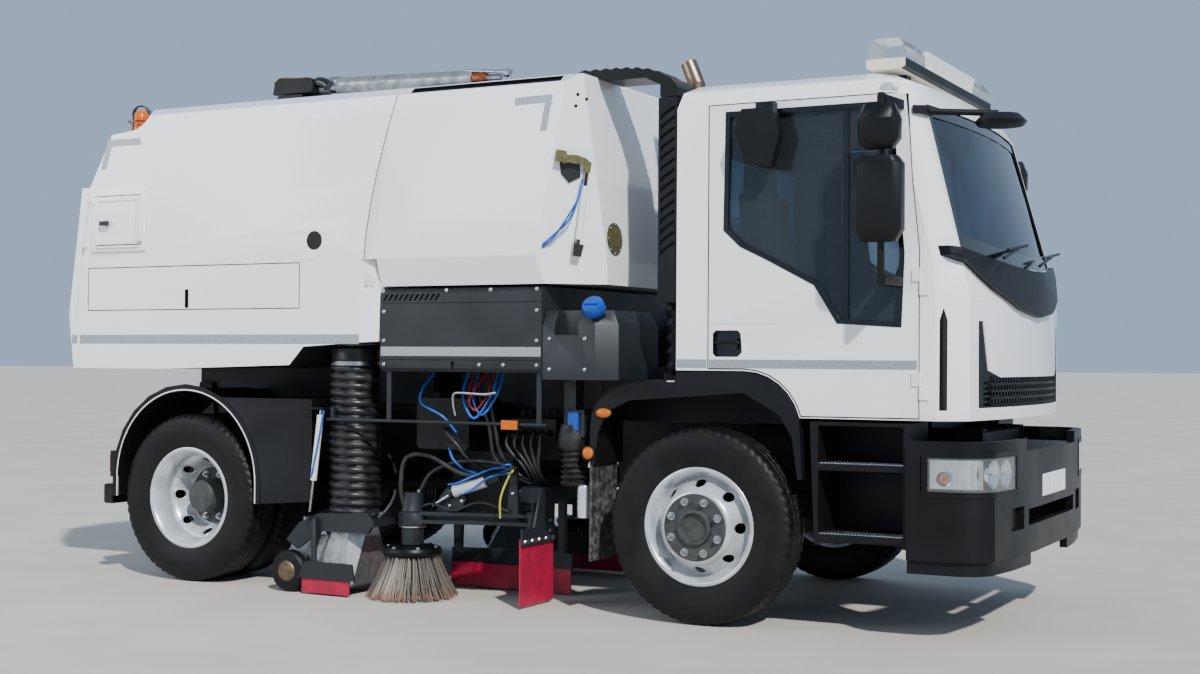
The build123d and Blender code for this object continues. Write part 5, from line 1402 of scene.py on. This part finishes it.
# %% A path round the bumper's corner
corner_turn = np.radians(np.linspace(90, 25, 14))
corner_radius, corner_middle = 0.2, np.array([2.640, 0.9])
corner_arc = corner_middle + corner_radius * np.column_stack([np.cos(corner_turn), np.sin(corner_turn)])
bumper_plan = np.vstack([[(2.500, 1.100), (2.640, 1.100)], corner_arc[1:], [(2.862, 0.700)]])
bumper_run = np.concatenate([[0], np.cumsum(np.linalg.norm(np.diff(bumper_plan, axis=0), axis=1))])


def plan_point(run):
    """The bumper plan's point at a distance along it."""
    return np.stack([np.interp(run, bumper_run, bumper_plan[:, k]) for k in (0, 1)], -1)


def bumper_station(share, depth, reach=0.01):
    """The plan point at a share of its length, sunk by a depth, and the normal there."""
    run = np.clip(share, 0, 1) * bumper_run[-1]
    along = plan_point(run + reach) - plan_point(run - reach)
    along /= np.linalg.norm(along, axis=-1, keepdims=True)
    normal = np.stack([-along[..., 1], along[..., 0]], -1)
    return plan_point(run) - depth * normal, normal


def wrapped_wall(low, high, depth, thickness, reach=(0.004, 0.996), steps=30):
    """A wall that follows the bumper's plan, between two heights and two depths."""
    share = np.linspace(*reach, steps)
    outer, inner = (bumper_station(share, sunk)[0] for sunk in (depth, depth + thickness))
    ring = [(outer, low), (outer, high), (inner, high), (inner, low)]
    walls = [np.column_stack([plan[:, 0], -plan[:, 1], np.full(steps, z)]) for plan, z in ring]
    return capped(np.stack(walls, 1))


print("the plan's path is", round(bumper_run[-1], 3), "m long")

# %% [markdown]
# ## Headlamps
# A headlamp is a clear cover over a dark housing with round reflectors. Each reflector is a
# parabola turned about the bumper's normal, the curve that throws a bulb's light forwards.

# %% Headlamps
lamp_low, lamp_high, lip = 0.716, 0.904, 0.006
# reflector: share along the plan, height, radius, size of its bulb
bowl_rows = [(0.155, 0.790, 0.034, 0.014), (0.575, 0.812, 0.064, 0.008), (0.80, 0.808, 0.064, 0.008)]


def lamp_bowl(share, height, radius, depth=0.036):
    """A reflector bowl: its outline is a parabola, turned about the bumper's normal."""
    r = np.linspace(0.16, 1, 9)
    bowl = np.column_stack([radius * r, depth * (r**2 - 1)])
    rear = [(radius * 1.08, 0.001), (radius * 1.08, -depth), (0, -depth - 0.003)]
    point, normal = bumper_station(np.array(share), 0.014)
    out = np.array([normal[0], -normal[1], 0.0])
    place = places([point[0], -point[1], height], np.cross([0, 0, 1], out), (0, 0, 1), out)
    return copies(turned([(0, -depth), *bowl, *rear], 28, "z"), place)


def lamp_bulb(share, height, size):
    """A small upright bulb with rounded ends, 30 mm behind the cover."""
    spot, normal = bumper_station(np.array(share), 0.030)
    tall = 1.1 * size
    outline = rounded([(0, -tall), (size, -tall), (size, tall), (0, tall)], 1)
    return turned(outline, 14, "z", (spot[0], -spot[1], height))


cover = wrapped_wall(lamp_low, lamp_high, 0.001, 0.004)
housing = [
    wrapped_wall(lamp_low, lamp_high, 0.058, lip), wrapped_wall(lamp_low, lamp_low + lip, lip, 0.052),
    wrapped_wall(lamp_high - lip, lamp_high, lip, 0.052),
]
bezel = [
    wrapped_wall(lamp_low - 0.012, lamp_low + 0.014, -0.004, 0.0045, (0.0, 1.0)),
    wrapped_wall(lamp_high - 0.014, lamp_high + 0.012, -0.004, 0.0045, (0.0, 1.0)),
    wrapped_wall(lamp_low + 0.015, lamp_high - 0.015, -0.0035, 0.004, (0.0, 0.045), 6),
    wrapped_wall(lamp_low + 0.015, lamp_high - 0.015, -0.0035, 0.004, (0.955, 1.0), 6),
]
uprights = [wrapped_wall(lamp_low + 0.026, lamp_high - 0.026, 0.036, 0.006, (0.06, 0.45), 14)]
for start in (0.06, 0.25, 0.32, 0.385, 0.45):
    fin = wrapped_wall(lamp_low + 0.024, lamp_high - 0.024, 0.010, 0.030, (start, start + 0.006), 3)
    uprights.append(fin)
bowls = [lamp_bowl(share, height, radius) for share, height, radius, size in bowl_rows]
indicator, *white_bulbs = [lamp_bulb(share, height, size) for share, height, radius, size in bowl_rows]
add_piece("headlamp_covers", both(cover), clear_lens, "chassis", "lamp_glass", replaces=["headlamps"])
add_piece("headlamp_housings", both(*housing), gloss_black, "chassis", "bare_steel")
add_piece("headlamp_bezels", both(*bezel), black_moulding, "chassis", "black_plastic")
add_piece("headlamp_uprights", both(*uprights), lamp_chrome, "chassis", "bare_steel")
add_piece("headlamp_bowls", both(*bowls), lamp_chrome, "chassis", "bare_steel")
add_piece("headlamp_bulbs", both(*white_bulbs), bright_zinc, "chassis", "bare_steel")
add_piece("indicator_bulbs", both(indicator), amber_lens, "chassis", "amber_lamp")
tell("headlamps")

# %% [markdown]
# ## Fuel cap
# A moulded cap has ribs for the hand. Its outline is turned like any lathe shape, and the
# radius is then drawn in between the ribs: r x (1 - depth x (0.5 - 0.5 cos(n a))).


# %% Fuel cap
def ribbed(outline, ribs, depth, rib_from, steps=120):
    """A lathe shape along z with ribs on the rows whose radius passes rib_from."""
    points, quads = turned(outline, steps, "z")
    angle = np.arctan2(points[:, 1], points[:, 0])
    reach = np.hypot(points[:, 0], points[:, 1])
    share = np.where(reach > rib_from, 1 - depth * (0.5 - 0.5 * np.cos(ribs * angle)), 1.0)
    return points * np.column_stack([share, share, np.ones(len(share))]), quads


def aimed(shape, origin, direction):
    """A shape made along z, put at an origin and turned to point along a direction."""
    z_axis = np.asarray(direction, float) / np.linalg.norm(direction)
    x_axis = np.cross([0, 0, 1], z_axis) if abs(z_axis[2]) < 0.99 else np.array([1.0, 0, 0])
    x_axis = x_axis / np.linalg.norm(x_axis)
    return copies(shape, places(origin, x_axis, np.cross(z_axis, x_axis), z_axis))


cap_outline = [
    (0, -0.004), (0.054, -0.004), (0.060, 0.004), (0.060, 0.046), (0.052, 0.056), (0.030, 0.060), (0, 0.060),
]
cap_bar = box((-0.040, -0.009, 0.055), (0.040, 0.009, 0.068))
cap = joined(ribbed(cap_outline, 16, 0.07, 0.056), cap_bar)
blue_cap = aimed(cap, (0.790, -1.172, 1.596), (0, -54, 42))
add_piece("filler_cap_ribbed", blue_cap, blue_moulding, "chassis", "blue_cap", replaces=["filler_cap"])
tell("fuel cap")

# %% [markdown]
# ## Bolts and louvres on the enclosure
# Sheet panels are held by dome-headed bolts. One low-relief bolt is turned, and each face's
# bolts are copies of it that share the face's direction.

# %% Bolts and louvres on the enclosure
dome_bolt = turned([(0, 0), (0.012, 0), (0.012, 0.002), (0.009, 0.006), (0.004, 0.008), (0, 0.008)], 14, "z")
facing_right = places((0, 0, 0), (1, 0, 0), (0, 0, 1), (0, -1, 0))[0]
facing_front = places((0, 0, 0), (0, 1, 0), (0, 0, 1), (1, 0, 0))[0]


def set_on(points, facing, shape=bolt):
    """The same shape at many points of a face."""
    spots = np.repeat(facing[None], len(points), axis=0)
    spots[:, :3, 3] = points
    return copies(shape, spots)


def row_of(x_values, y, z_values):
    """Points on a side face where x values and heights cross."""
    x, z = np.meshgrid(x_values, z_values)
    return np.column_stack([x.ravel(), np.full(x.size, y), z.ravel()])


enclosure_points = np.vstack([
    row_of([-0.525, -0.11, 0.17, 0.455], -enclosure_side, [1.712]),
    row_of([-0.52, 0.455], -enclosure_side, [1.60, 1.44, 1.31]),
    row_of([0.10, 0.25], -enclosure_side, [1.31]),
    row_of([0.53, 0.74], -1.196, [1.45, 1.29]),
])
enclosure_bolts = set_on(enclosure_points, facing_right, dome_bolt)
add_pair("enclosure_bolts", enclosure_bolts, bright_zinc, "chassis", "bare_steel")
slits, slit_pitch = np.arange(11), 0.034
hood_plate = side_panel([(-0.529, 1.660), (-0.523, 1.660), (-0.499, 1.695), (-0.505, 1.695)], 1.196, 1.208)
louvre_hoods = copies(hood_plate, places(np.column_stack([slit_pitch * slits, 0 * slits, 0 * slits])))
add_pair("louvre_hoods", louvre_hoods, slate_powder, "chassis", "dark_paint", bevel_mm=1)
tell("enclosure bolts and louvres")

# %% [markdown]
# ## Fasteners on the flap and the hopper
# The crimson flap is held by a washer strip with five bolts, and by two more above it. The
# hopper's corner has three plugged holes, and an access disc with eight bolts closes its front.

# %% Fasteners on the flap and the hopper
flap_face, disc_face = 0.320, 0.767
flap_row = np.column_stack([np.full(5, flap_face), np.linspace(-1.07, -0.77, 5), np.full(5, 0.362)])
flap_points = np.vstack([flap_row, [[flap_face, -0.80, 0.405], [flap_face, -0.80, 0.46]]])
washer_strip = box((flap_face, -1.095, 0.350), (0.323, -0.745, 0.374))
add_pair("flap_bolts", set_on(flap_points, facing_front), bright_zinc, "chassis", "bare_steel")
add_pair("flap_strip", washer_strip, bright_zinc, "chassis", "bare_steel", bevel_mm=1)
plug = turned([(0, -0.001), (0.009, -0.001), (0.009, 0.0015), (0.005, 0.0025), (0, 0.0025)], 16, "z")
hole_points = [corner_point(*spot, 0.0) for spot in ((0.86, 0.075), (0.845, 0.125), (0.80, 0.075))]
corner_plugs = joined(*[aimed(plug, point, corner_out * to_right) for point in hole_points])
add_pair("corner_plugs", corner_plugs, black_moulding, "hopper", "black_plastic")
access_outline = rounded([(0, -0.002), (0.088, -0.002), (0.088, 0.005), (0, 0.007)], 1, closed=False)
access_disc = aimed(turned(access_outline, 40, "z"), (0.7605, -0.905, 1.985), (1, 0, 0.05))
small_bolt = copies(dome_bolt, places((0, 0, 0), (0.5, 0, 0), (0, 0.5, 0), (0, 0, 0.5)))
rim_turns = np.arange(8) * np.pi / 4
rim_y, rim_z = -0.905 + 0.078 * np.cos(rim_turns), 1.985 + 0.078 * np.sin(rim_turns)
disc_bolts = set_on(np.column_stack([np.full(8, disc_face), rim_y, rim_z]), facing_front, small_bolt)
add_piece("access_disc", access_disc, olive_zinc, "hopper", "bare_steel")
add_piece("access_disc_bolts", disc_bolts, bright_zinc, "hopper", "bare_steel")
vent_tab = box((-1.012, -1.2425, 1.895), (-0.966, -1.2395, 1.918))
add_pair("vent_tab", vent_tab, blank_plate, "hopper", "white_paint", bevel_mm=1)
tell("fasteners")

# %% [markdown]
# ## Hoses and cylinder on the broom arm
# The gear is worked by oil and air, so it is tied together by hoses. A hose is a round bar on
# a smooth line through a few points, which sags and loops as the points say. Hoses that end
# on the swinging arm ride on it and stop over its pivot, so nothing tears when it swings.

# %% Hoses and cylinder on the broom arm
arm_hoses = joined(
    hose([
        (0.150, -0.900, 0.745), (0.02, -0.935, 0.700), (-0.14, -0.985, 0.705), (-0.34, -1.02, 0.80),
        (-0.47, -1.05, 0.78), (-0.495, -1.06, 0.62), (-0.475, -1.045, 0.50), (-0.470, -1.03, 0.45),
    ], 0.013, 12),
    hose([
        (0.150, -0.875, 0.740), (-0.02, -0.90, 0.770), (-0.20, -0.94, 0.765), (-0.36, -0.96, 0.70),
        (-0.43, -0.975, 0.585),
    ], 0.011, 12),
    hose([
        (0.11, -0.890, 0.500), (-0.06, -0.925, 0.545), (-0.20, -0.975, 0.50), (-0.33, -0.995, 0.53),
        (-0.42, -1.00, 0.50),
    ], 0.009, 10),
)
arm_blue_lines = joined(
    hose([
        (0.135, -0.895, 0.735), (0.06, -0.955, 0.742), (-0.05, -0.99, 0.700), (-0.16, -0.99, 0.655),
        (-0.235, -0.975, 0.640),
    ], 0.006),
    hose([
        (0.130, -0.905, 0.715), (0.03, -0.975, 0.690), (-0.09, -0.985, 0.610), (-0.20, -0.965, 0.575),
    ], 0.006),
    hose([(0.10, -0.895, 0.70), (0.14, -0.925, 0.76), (0.10, -0.96, 0.755)], 0.005),
)
arm_lime_line = hose([
    (0.145, -0.885, 0.745), (0.135, -0.945, 0.690), (0.105, -0.975, 0.58), (0.10, -0.97, 0.47),
], 0.006)
for name, shape, material, slot in (
    ("arm_hoses", arm_hoses, hose_rubber, "black_rubber"),
    ("arm_blue_lines", arm_blue_lines, blue_line, "blue_cap"),
    ("arm_lime_line", arm_lime_line, lime_line, "amber_lamp"),
):
    add_pair(name, shape, material, "broom_arm_{}", slot, smooth_angle=60)
cylinder_way, rod_way, upright = (0.295, 0.057, 0.100), (0.14, 0.012, 0.085), (0, 0, 1)
barrel = [(0, 0), (0.030, 0), (0.0335, 0.004), (0.0335, 0.180), (0.030, 0.188), (0, 0.188)]
cylinder = joined(
    aimed(turned(barrel, 28, "z"), (-0.190, -0.9715, 0.605), cylinder_way),
    aimed(peg(0.036, 0.018, 28), (-0.196, -0.973, 0.603), cylinder_way),
)
add_pair("tilt_cylinder", cylinder, wheel_silver, "broom_arm_{}", "bare_steel")
motor_fittings = joined(
    aimed(peg(0.008, 0.15, 14), (-0.330, -0.985, 0.520), rod_way),
    aimed(peg(0.016, 0.075, 16), (-0.472, -1.040, 0.425), upright),
    aimed(peg(0.013, 0.05, 16), (-0.430, -0.975, 0.555), upright),
    aimed(peg(0.075, 0.007, 36), (broom_x, broom_y, 0.397), upright),
)
add_pair("motor_fittings", motor_fittings, bright_zinc, "broom_arm_{}", "bare_steel")
arm_bolts = set_on(np.array([
    [0.10, -0.881, 0.70], [0.125, -0.881, 0.60], [-0.20, -0.955, 0.61], [-0.28, -0.955, 0.56],
    [-0.24, -0.955, 0.52], [-0.16, -0.955, 0.55],
]), facing_right, dome_bolt)
add_pair("arm_bolts", arm_bolts, bright_zinc, "broom_arm_{}", "bare_steel")
tell("arm hoses")

# %% [markdown]
# ## Lines under the enclosure
# Coloured lines hang in loops from the enclosure's floor, and black feed hoses run down to
# the arm's pivot. They end on the fixed frame, so they ride on the chassis.

# %% Lines under the enclosure
floor_z = 1.262


def under_loop(x, width, depth, radius):
    """A line that leaves the enclosure's floor, hangs in a loop and goes back up."""
    return hose([
        (x, -0.93, floor_z), (x + 0.01, -1.00, 1.13), (x + width / 2, -1.02, 1.13 - depth),
        (x + width, -1.00, 1.14), (x + width + 0.01, -0.94, floor_z),
    ], radius)


def drop_hose(x, lean):
    """A hose that comes out over the frame, falls and leans to the arm's pivot."""
    return hose([
        (x, -0.80, 0.93), (x + 0.01, -0.86, 0.93), (x + 0.01, -0.885, 0.86), (x - 0.02 + lean, -0.86, 0.74),
        (x + lean, -0.80, 0.655),
    ], 0.010, 10)


blue_loops = joined(
    under_loop(-0.135, 0.19, 0.115, 0.008), under_loop(-0.07, 0.16, 0.095, 0.007),
    hose([
        (-0.36, -0.93, floor_z), (-0.395, -1.00, 1.17), (-0.385, -1.02, 1.09), (-0.26, -1.00, 1.02),
        (-0.20, -0.95, 0.93),
    ], 0.007),
    hose([(-0.26, -0.93, 0.84), (-0.22, -0.95, 0.78), (-0.15, -0.93, 0.72), (-0.10, -0.80, 0.69)], 0.007),
)
red_loops = joined(
    under_loop(-0.100, 0.13, 0.070, 0.006),
    hose([(-0.02, -0.93, floor_z), (-0.05, -1.00, 1.17), (-0.075, -1.01, 1.10), (-0.02, -0.96, 1.03)], 0.007),
)
silver_pipe = hose([
    (-0.175, -1.00, 1.03), (-0.17, -1.03, 1.09), (-0.155, -1.05, 1.145), (-0.10, -1.06, 1.155),
    (0.05, -1.06, 1.150), (0.125, -1.06, 1.160),
], 0.009, 12)
drop_rows = [(0.080, 0.13), (0.132, 0.11), (0.184, 0.08), (0.236, 0.05), (0.288, 0.01)]
feed_hoses = joined(
    *[drop_hose(x, lean) for x, lean in drop_rows],
    hose([
        (-0.05, -0.93, floor_z), (-0.03, -0.97, 1.12), (0.0, -0.93, 0.98), (0.02, -0.90, 0.80),
        (0.10, -0.84, 0.70), (0.20, -0.80, 0.652),
    ], 0.012, 12),
    hose([
        (0.00, -0.93, floor_z), (0.02, -0.95, 1.12), (0.04, -0.93, 0.97), (0.06, -0.90, 0.82),
        (0.13, -0.84, 0.71), (0.24, -0.79, 0.652),
    ], 0.012, 12),
    hose([
        (-0.32, -0.90, 0.95), (-0.26, -0.965, 0.93), (-0.18, -0.97, 0.86), (-0.13, -0.93, 0.78),
        (-0.05, -0.86, 0.72), (0.10, -0.80, 0.70), (0.20, -0.76, 0.652),
    ], 0.010, 10),
)
for name, shape, material, slot in (
    ("under_blue_loops", blue_loops, blue_line, "blue_cap"),
    ("under_red_loops", red_loops, red_line, "red_lamp"),
    ("silver_pipe", silver_pipe, bright_zinc, "bare_steel"),
    ("feed_hoses", feed_hoses, hose_rubber, "black_rubber"),
):
    add_pair(name, shape, material, "chassis", slot, smooth_angle=60)
tell("lines under the enclosure")

# %% [markdown]
# ## Guard bar, bellows and arch edge
# A bar keeps feet out of the gear, a bellows joins the intake to the enclosure, and a white
# strip edges the rear arch. The bellows is a lathe outline that runs out and in six times.

# %% Guard bar, bellows and arch edge
guard_bar = joined(
    bar((-0.93, -1.165, 0.995), (0.50, -1.165, 0.995), 0.010),
    box((-0.905, -1.17, 0.985), (-0.885, -1.145, 1.062)),
    box((-0.52, -1.170, 0.985), (-0.49, -1.162, 1.275)), box((0.44, -1.170, 0.985), (0.47, -1.162, 1.275)),
)
# a dark plate beside the frame that is painted shade: it stands where the underside is only shadow, and hides
# the bright floor seen through the gear
gear_bracket = box((-0.50, -0.462, 0.42), (-0.12, -0.450, 0.80))
add_pair("side_guard_bar", guard_bar, slate_powder, "chassis", "dark_paint", bevel_mm=1)
add_pair("gear_bracket", gear_bracket, slate_powder, "chassis", "dark_paint", bevel_mm=1)
folds, fold_pitch, crest, valley = np.arange(6), 0.03, 0.074, 0.058
crests = np.column_stack([np.full(6, crest), 0.02 + fold_pitch * folds])
valleys = np.column_stack([np.full(6, valley), 0.035 + fold_pitch * folds])
bellows_outline = np.vstack([
    [(0.0, 0.0), (0.055, 0.0)], np.stack([crests, valleys], 1).reshape(-1, 2),
    [(0.080, 0.205), (0.085, 0.26), (0.070, 0.33), (0.0, 0.34)],
])
intake_bellows = aimed(turned(bellows_outline, 32, "z"), (0.565, -0.985, 0.665), upright)
intake = joined(intake_bellows, box((0.53, -1.03, 0.995), (0.60, -0.94, 1.24)))
add_pair("intake_bellows", intake, hose_rubber, "chassis", "black_rubber", smooth_angle=50)
can_outline = [(0, 0.50), (0.034, 0.50), (0.036, 0.51), (0.036, 0.66), (0.030, 0.675), (0, 0.675)]
filter_can = turned(rounded(can_outline, 1, closed=False), 24, "z", (0.632, -0.99, 0))
add_pair("filter_can", filter_can, wheel_silver, "chassis", "bare_steel")
strut_hose = hose([
    (-1.012, -1.200, 0.66), (-0.985, -1.212, 0.74), (-0.950, -1.210, 0.90), (-0.928, -1.20, 1.045),
], 0.006)
add_pair("strut_hose", strut_hose, blue_line, "chassis", "blue_cap", smooth_angle=60)
arch_radius, arch_y, arch_z, arch_foot = 0.536, -1.160, 0.610, 0.492
arch_turn = np.linspace(np.pi, 0, 48)
arch_x, arch_height = rear_axle_x + arch_radius * np.cos(arch_turn), arch_z + arch_radius * np.sin(arch_turn)
arch_edge = np.vstack([
    [(-2.521, arch_y, arch_foot)], np.column_stack([arch_x, np.full(48, arch_y), arch_height]),
    [(-1.449, arch_y, arch_foot)],
])
add_pair("arch_edge", tube(arch_edge, 0.0065, 8), blank_plate, "chassis", "white_paint", smooth_angle=60)
tell("sweep gear trim")

# %% [markdown]
# ## Side lamps
# Side marker lamps are amber domes on black bases. The dome's outline is a quarter ellipse,
# stretched sideways for the oval lamps. A squashed sphere would need its lower half cut off.


# %% Side lamps
def dome(width, height, depth, steps=32):
    """A low dome: r = cos t, rise = sin t, stretched to a width and a height."""
    t = np.linspace(0, np.pi / 2, 9)
    outline = [(0, -0.003), (1.0, -0.003), *np.column_stack([np.cos(t), depth * np.sin(t)])]
    points, quads = turned(outline, steps, "z")
    return points * [width / 2, height / 2, 1], quads


bases = joined(
    set_on([(0.780, -1.0555, 1.062)], facing_right, dome(0.100, 0.062, 0.006)),
    set_on([(0.696, -1.066, 0.850)], facing_right, dome(0.078, 0.078, 0.006)),
    box((0.665, -1.066, 0.815), (0.722, -1.050, 0.885)), box((0.225, -1.176, 0.962), (0.335, -1.160, 1.020)),
)
side_lamps = joined(
    set_on([(0.780, -1.060, 1.062)], facing_right, dome(0.088, 0.050, 0.014)),
    set_on([(0.696, -1.071, 0.850)], facing_right, dome(0.064, 0.064, 0.014)),
)
marker_lamp = box((0.230, -1.188, 0.967), (0.330, -1.174, 1.015))
add_pair("side_lamp_bases", bases, black_moulding, "chassis", "black_plastic")
add_pair("side_lamps", side_lamps, amber_lens, "chassis", "amber_lamp")
add_pair("marker_lamp", marker_lamp, amber_lens, "chassis", "amber_lamp", bevel_mm=4)
tell("side lamps")

# %% [markdown]
# ## Plates and step treads
# The number plates and the blue label box are left blank. The steps have rows of small teeth
# that grip a boot, and each tooth has only a few faces, since there are hundreds.

# %% Plates and step treads
blue_box = box((0.560, -1.050, 0.965), (0.625, -1.035, 1.065))
box_back = box((0.555, -1.036, 0.93), (0.655, -1.005, 1.075))
add_pair("blue_label_box", blue_box, blue_moulding, "chassis", "blue_cap", bevel_mm=4)
add_pair("label_box_back", box_back, slate_powder, "chassis", "dark_paint", bevel_mm=4)
front_plate = box((2.8795, -0.26, 0.665), (2.8835, 0.26, 0.776))
rear_plate = box((-2.6435, -0.26, 0.448), (-2.6395, 0.26, 0.552))
add_piece("front_plate", front_plate, blank_plate, "chassis", "white_paint", bevel_mm=1)
add_piece("rear_plate", rear_plate, blank_plate, "chassis", "white_paint", bevel_mm=1)
tooth = prism([(-0.006, -0.004), (0.006, -0.004), (0.006, 0.004), (-0.006, 0.004)], -0.001, 0.005)
along, across = np.linspace(1.965, 2.395, 26), np.linspace(-1.035, -0.915, 6)
tread_x, tread_y = (grid.ravel() for grid in np.meshgrid(along, across))
tread_places = [places(np.column_stack([tread_x, tread_y, 0 * tread_x + z])) for z in (0.495, 0.840)]
teeth = [copies(tooth, spots) for spots in tread_places]
add_pair("step_teeth", joined(*teeth), bright_zinc, "chassis", "bare_steel", smooth_angle=20)
tell("plates and treads")

# %% [markdown]
# ## The roof boom
# The boom carries the suction hose that clears gullies. A shiny black hose leaves its
# pedestal, with a copper coupling and thin stay rods at the boom's end.

# %% The roof boom
boom_y, boom_way = -0.120, (1, 0, -0.03)
collar_outline = [(0, 0), (0.055, 0), (0.057, 0.01), (0.057, 0.05), (0, 0.05)]
coupling_outline = [(0, 0), (0.034, 0), (0.042, 0.02), (0.042, 0.10), (0.030, 0.13), (0, 0.13)]
knob_outline = [(0, -0.03), (0.022, -0.022), (0.030, 0), (0.022, 0.022), (0, 0.03)]
boom_parts = joined(
    bar((-0.66, boom_y - 0.035, 3.115), (-0.36, boom_y - 0.02, 3.085), 0.009),
    bar((-0.66, boom_y + 0.035, 3.125), (-0.36, boom_y + 0.02, 3.10), 0.009),
    aimed(turned(knob_outline, 20, "z"), (-0.385, boom_y, 3.085), (1, 0, 0)),
    aimed(turned(collar_outline, 30, "z"), (-1.70, boom_y, 3.105), boom_way),
)
coupling = aimed(turned(coupling_outline, 28, "z"), (-0.655, boom_y, 3.072), boom_way)
gland = hose([
    (-1.790, boom_y - 0.060, 3.115), (-1.745, boom_y - 0.075, 3.118), (-1.700, boom_y - 0.078, 3.105),
    (-1.675, boom_y - 0.078, 3.085),
], 0.034, 20)
pedestal = side_panel([
    (-2.105, 3.052), (-1.790, 3.052), (-1.775, 3.100), (-1.800, 3.145), (-2.050, 3.158), (-2.090, 3.130),
], 0.010, 0.230)
strip = joined(
    side_panel([(-2.092, 3.130), (-2.089, 3.124), (-2.048, 3.156), (-2.052, 3.162)], 0.012, 0.236),
    side_panel([(-2.052, 3.162), (-2.048, 3.156), (-1.820, 3.145), (-1.820, 3.151)], 0.012, 0.236),
)
add_piece("boom_fittings", boom_parts, bright_zinc, "roof_boom", "bare_steel")
add_piece("boom_coupling", coupling, copper, "roof_boom", "bare_steel")
add_piece("boom_gland_hose", gland, gloss_black, "roof_boom", "black_rubber", smooth_angle=60)
add_piece("boom_housing", pedestal, black_moulding, "roof_boom", "black_plastic", bevel_mm=6)
add_piece("housing_strip", strip, olive_zinc, "roof_boom", "bare_steel")
tell("roof boom")

# %% [markdown]
# ## Beacon, corner lamps and latch lines
# The beacon's lens is moulded with rings that spread its light. Two nylon lines run down from
# each latch's actuator, and their points are given in the slanted corner's own frame.

# %% Beacon, corner lamps and latch lines
beacon_x, beacon_y, ring_radius = -2.390, -1.120, 0.0505
ring_turn = np.linspace(0, 2 * np.pi, 41)
ring_x, ring_y = beacon_x + ring_radius * np.cos(ring_turn), beacon_y + ring_radius * np.sin(ring_turn)
beacon_rings = [
    tube(np.column_stack([ring_x, ring_y, np.full(41, z)]), 0.0022, 6) for z in (2.755, 2.768, 2.781, 2.794)
]
add_piece("beacon_rings", joined(*beacon_rings), amber_lens, "hopper", "amber_lamp", smooth_angle=60)
corner_lamp = dome(0.10, 0.045, 0.010)
roof_lamps = [aimed(corner_lamp, (2.318, sign * 1.033, 2.672), (0.1, sign, 0.35)) for sign in (-1, 1)]
add_piece("roof_corner_lamps", joined(*roof_lamps), clear_lens, "chassis", "lamp_glass")


def latch_line(shift):
    """A line from the actuator's head to the corner's foot, shifted beside its neighbour."""
    rows = [
        (0.43 - shift, 0.172, 0.030), (0.33, 0.165, 0.050), (0.22, 0.140 - shift, 0.055),
        (0.12 - shift, 0.075, 0.030), (0.06 - shift, 0.030, 0.004),
    ]
    return hose([corner_point(*row) for row in rows], 0.0055)


latch_lines = joined(*[latch_line(shift) for shift in (0.0, 0.016)])
add_pair("latch_lines", latch_lines, blue_line, "hopper", "blue_cap", smooth_angle=60)
tell("all details")

# %% [markdown]
# ## Floor and light
# A plain pale floor under a pale sky. The photograph was taken in full sun, so the key is a
# small sun from the front right and high up, which gives crisp shadows, and a broad soft lamp
# from the rear right keeps the shaded faces readable.

# %% Floor and light
floor_reach, sky_strength, sun_power, fill_power = 200, 0.8, 4.8, 450


def aim_light(name, kind, place, target, power):
    """A lamp of a kind at a place, its own minus z pointing at the target."""
    data = bpy.data.lights.new(name, kind)
    data.energy = power
    back = np.asarray(place, float) - np.asarray(target, float)
    back /= np.linalg.norm(back)
    right = np.cross([0, 0, 1], back)
    right /= np.linalg.norm(right)
    put(name, data).matrix_world = standing([right, np.cross(back, right), back], place)
    return data


def studio():
    """The floor, the sky, the sun and the soft lamp."""
    square = floor_reach * np.array([(-1, -1, 0), (1, -1, 0), (1, 1, 0), (-1, 1, 0)])
    floor_mesh = bpy.data.meshes.new("studio_floor")
    floor_mesh.from_pydata(square.tolist(), [], [(0, 1, 2, 3)])
    # trowelled concrete under pale dust: warm grey and matt
    floor_mesh.materials.append(grained("pale_floor", ("#C3BDB3", "#B9B3A9"), (0.75, 0.85), 900, 30, 0.2))
    put("studio_floor", floor_mesh)
    world = bpy.data.worlds.new("studio_world")
    world.use_nodes = True
    sky = world.node_tree.nodes["Background"]
    sky.inputs["Color"].default_value = linear("#B4CDEC")
    sky.inputs["Strength"].default_value = sky_strength
    bpy.context.scene.world = world
    sun = aim_light("key_sun", "SUN", (7.0, -6.5, 9.0), (0.0, 0.0, 1.0), sun_power)
    sun.angle = math.radians(2.0)
    fill = aim_light("fill_lamp", "AREA", (-8.0, -9.0, 5.0), (-0.5, 0.0, 1.5), fill_power)
    fill.shape = "RECTANGLE"
    fill.size, fill.size_y = 8.0, 4.0


studio()
print("lit by a sun of", sun_power, "W per square metre and a soft lamp of", fill_power, "W")
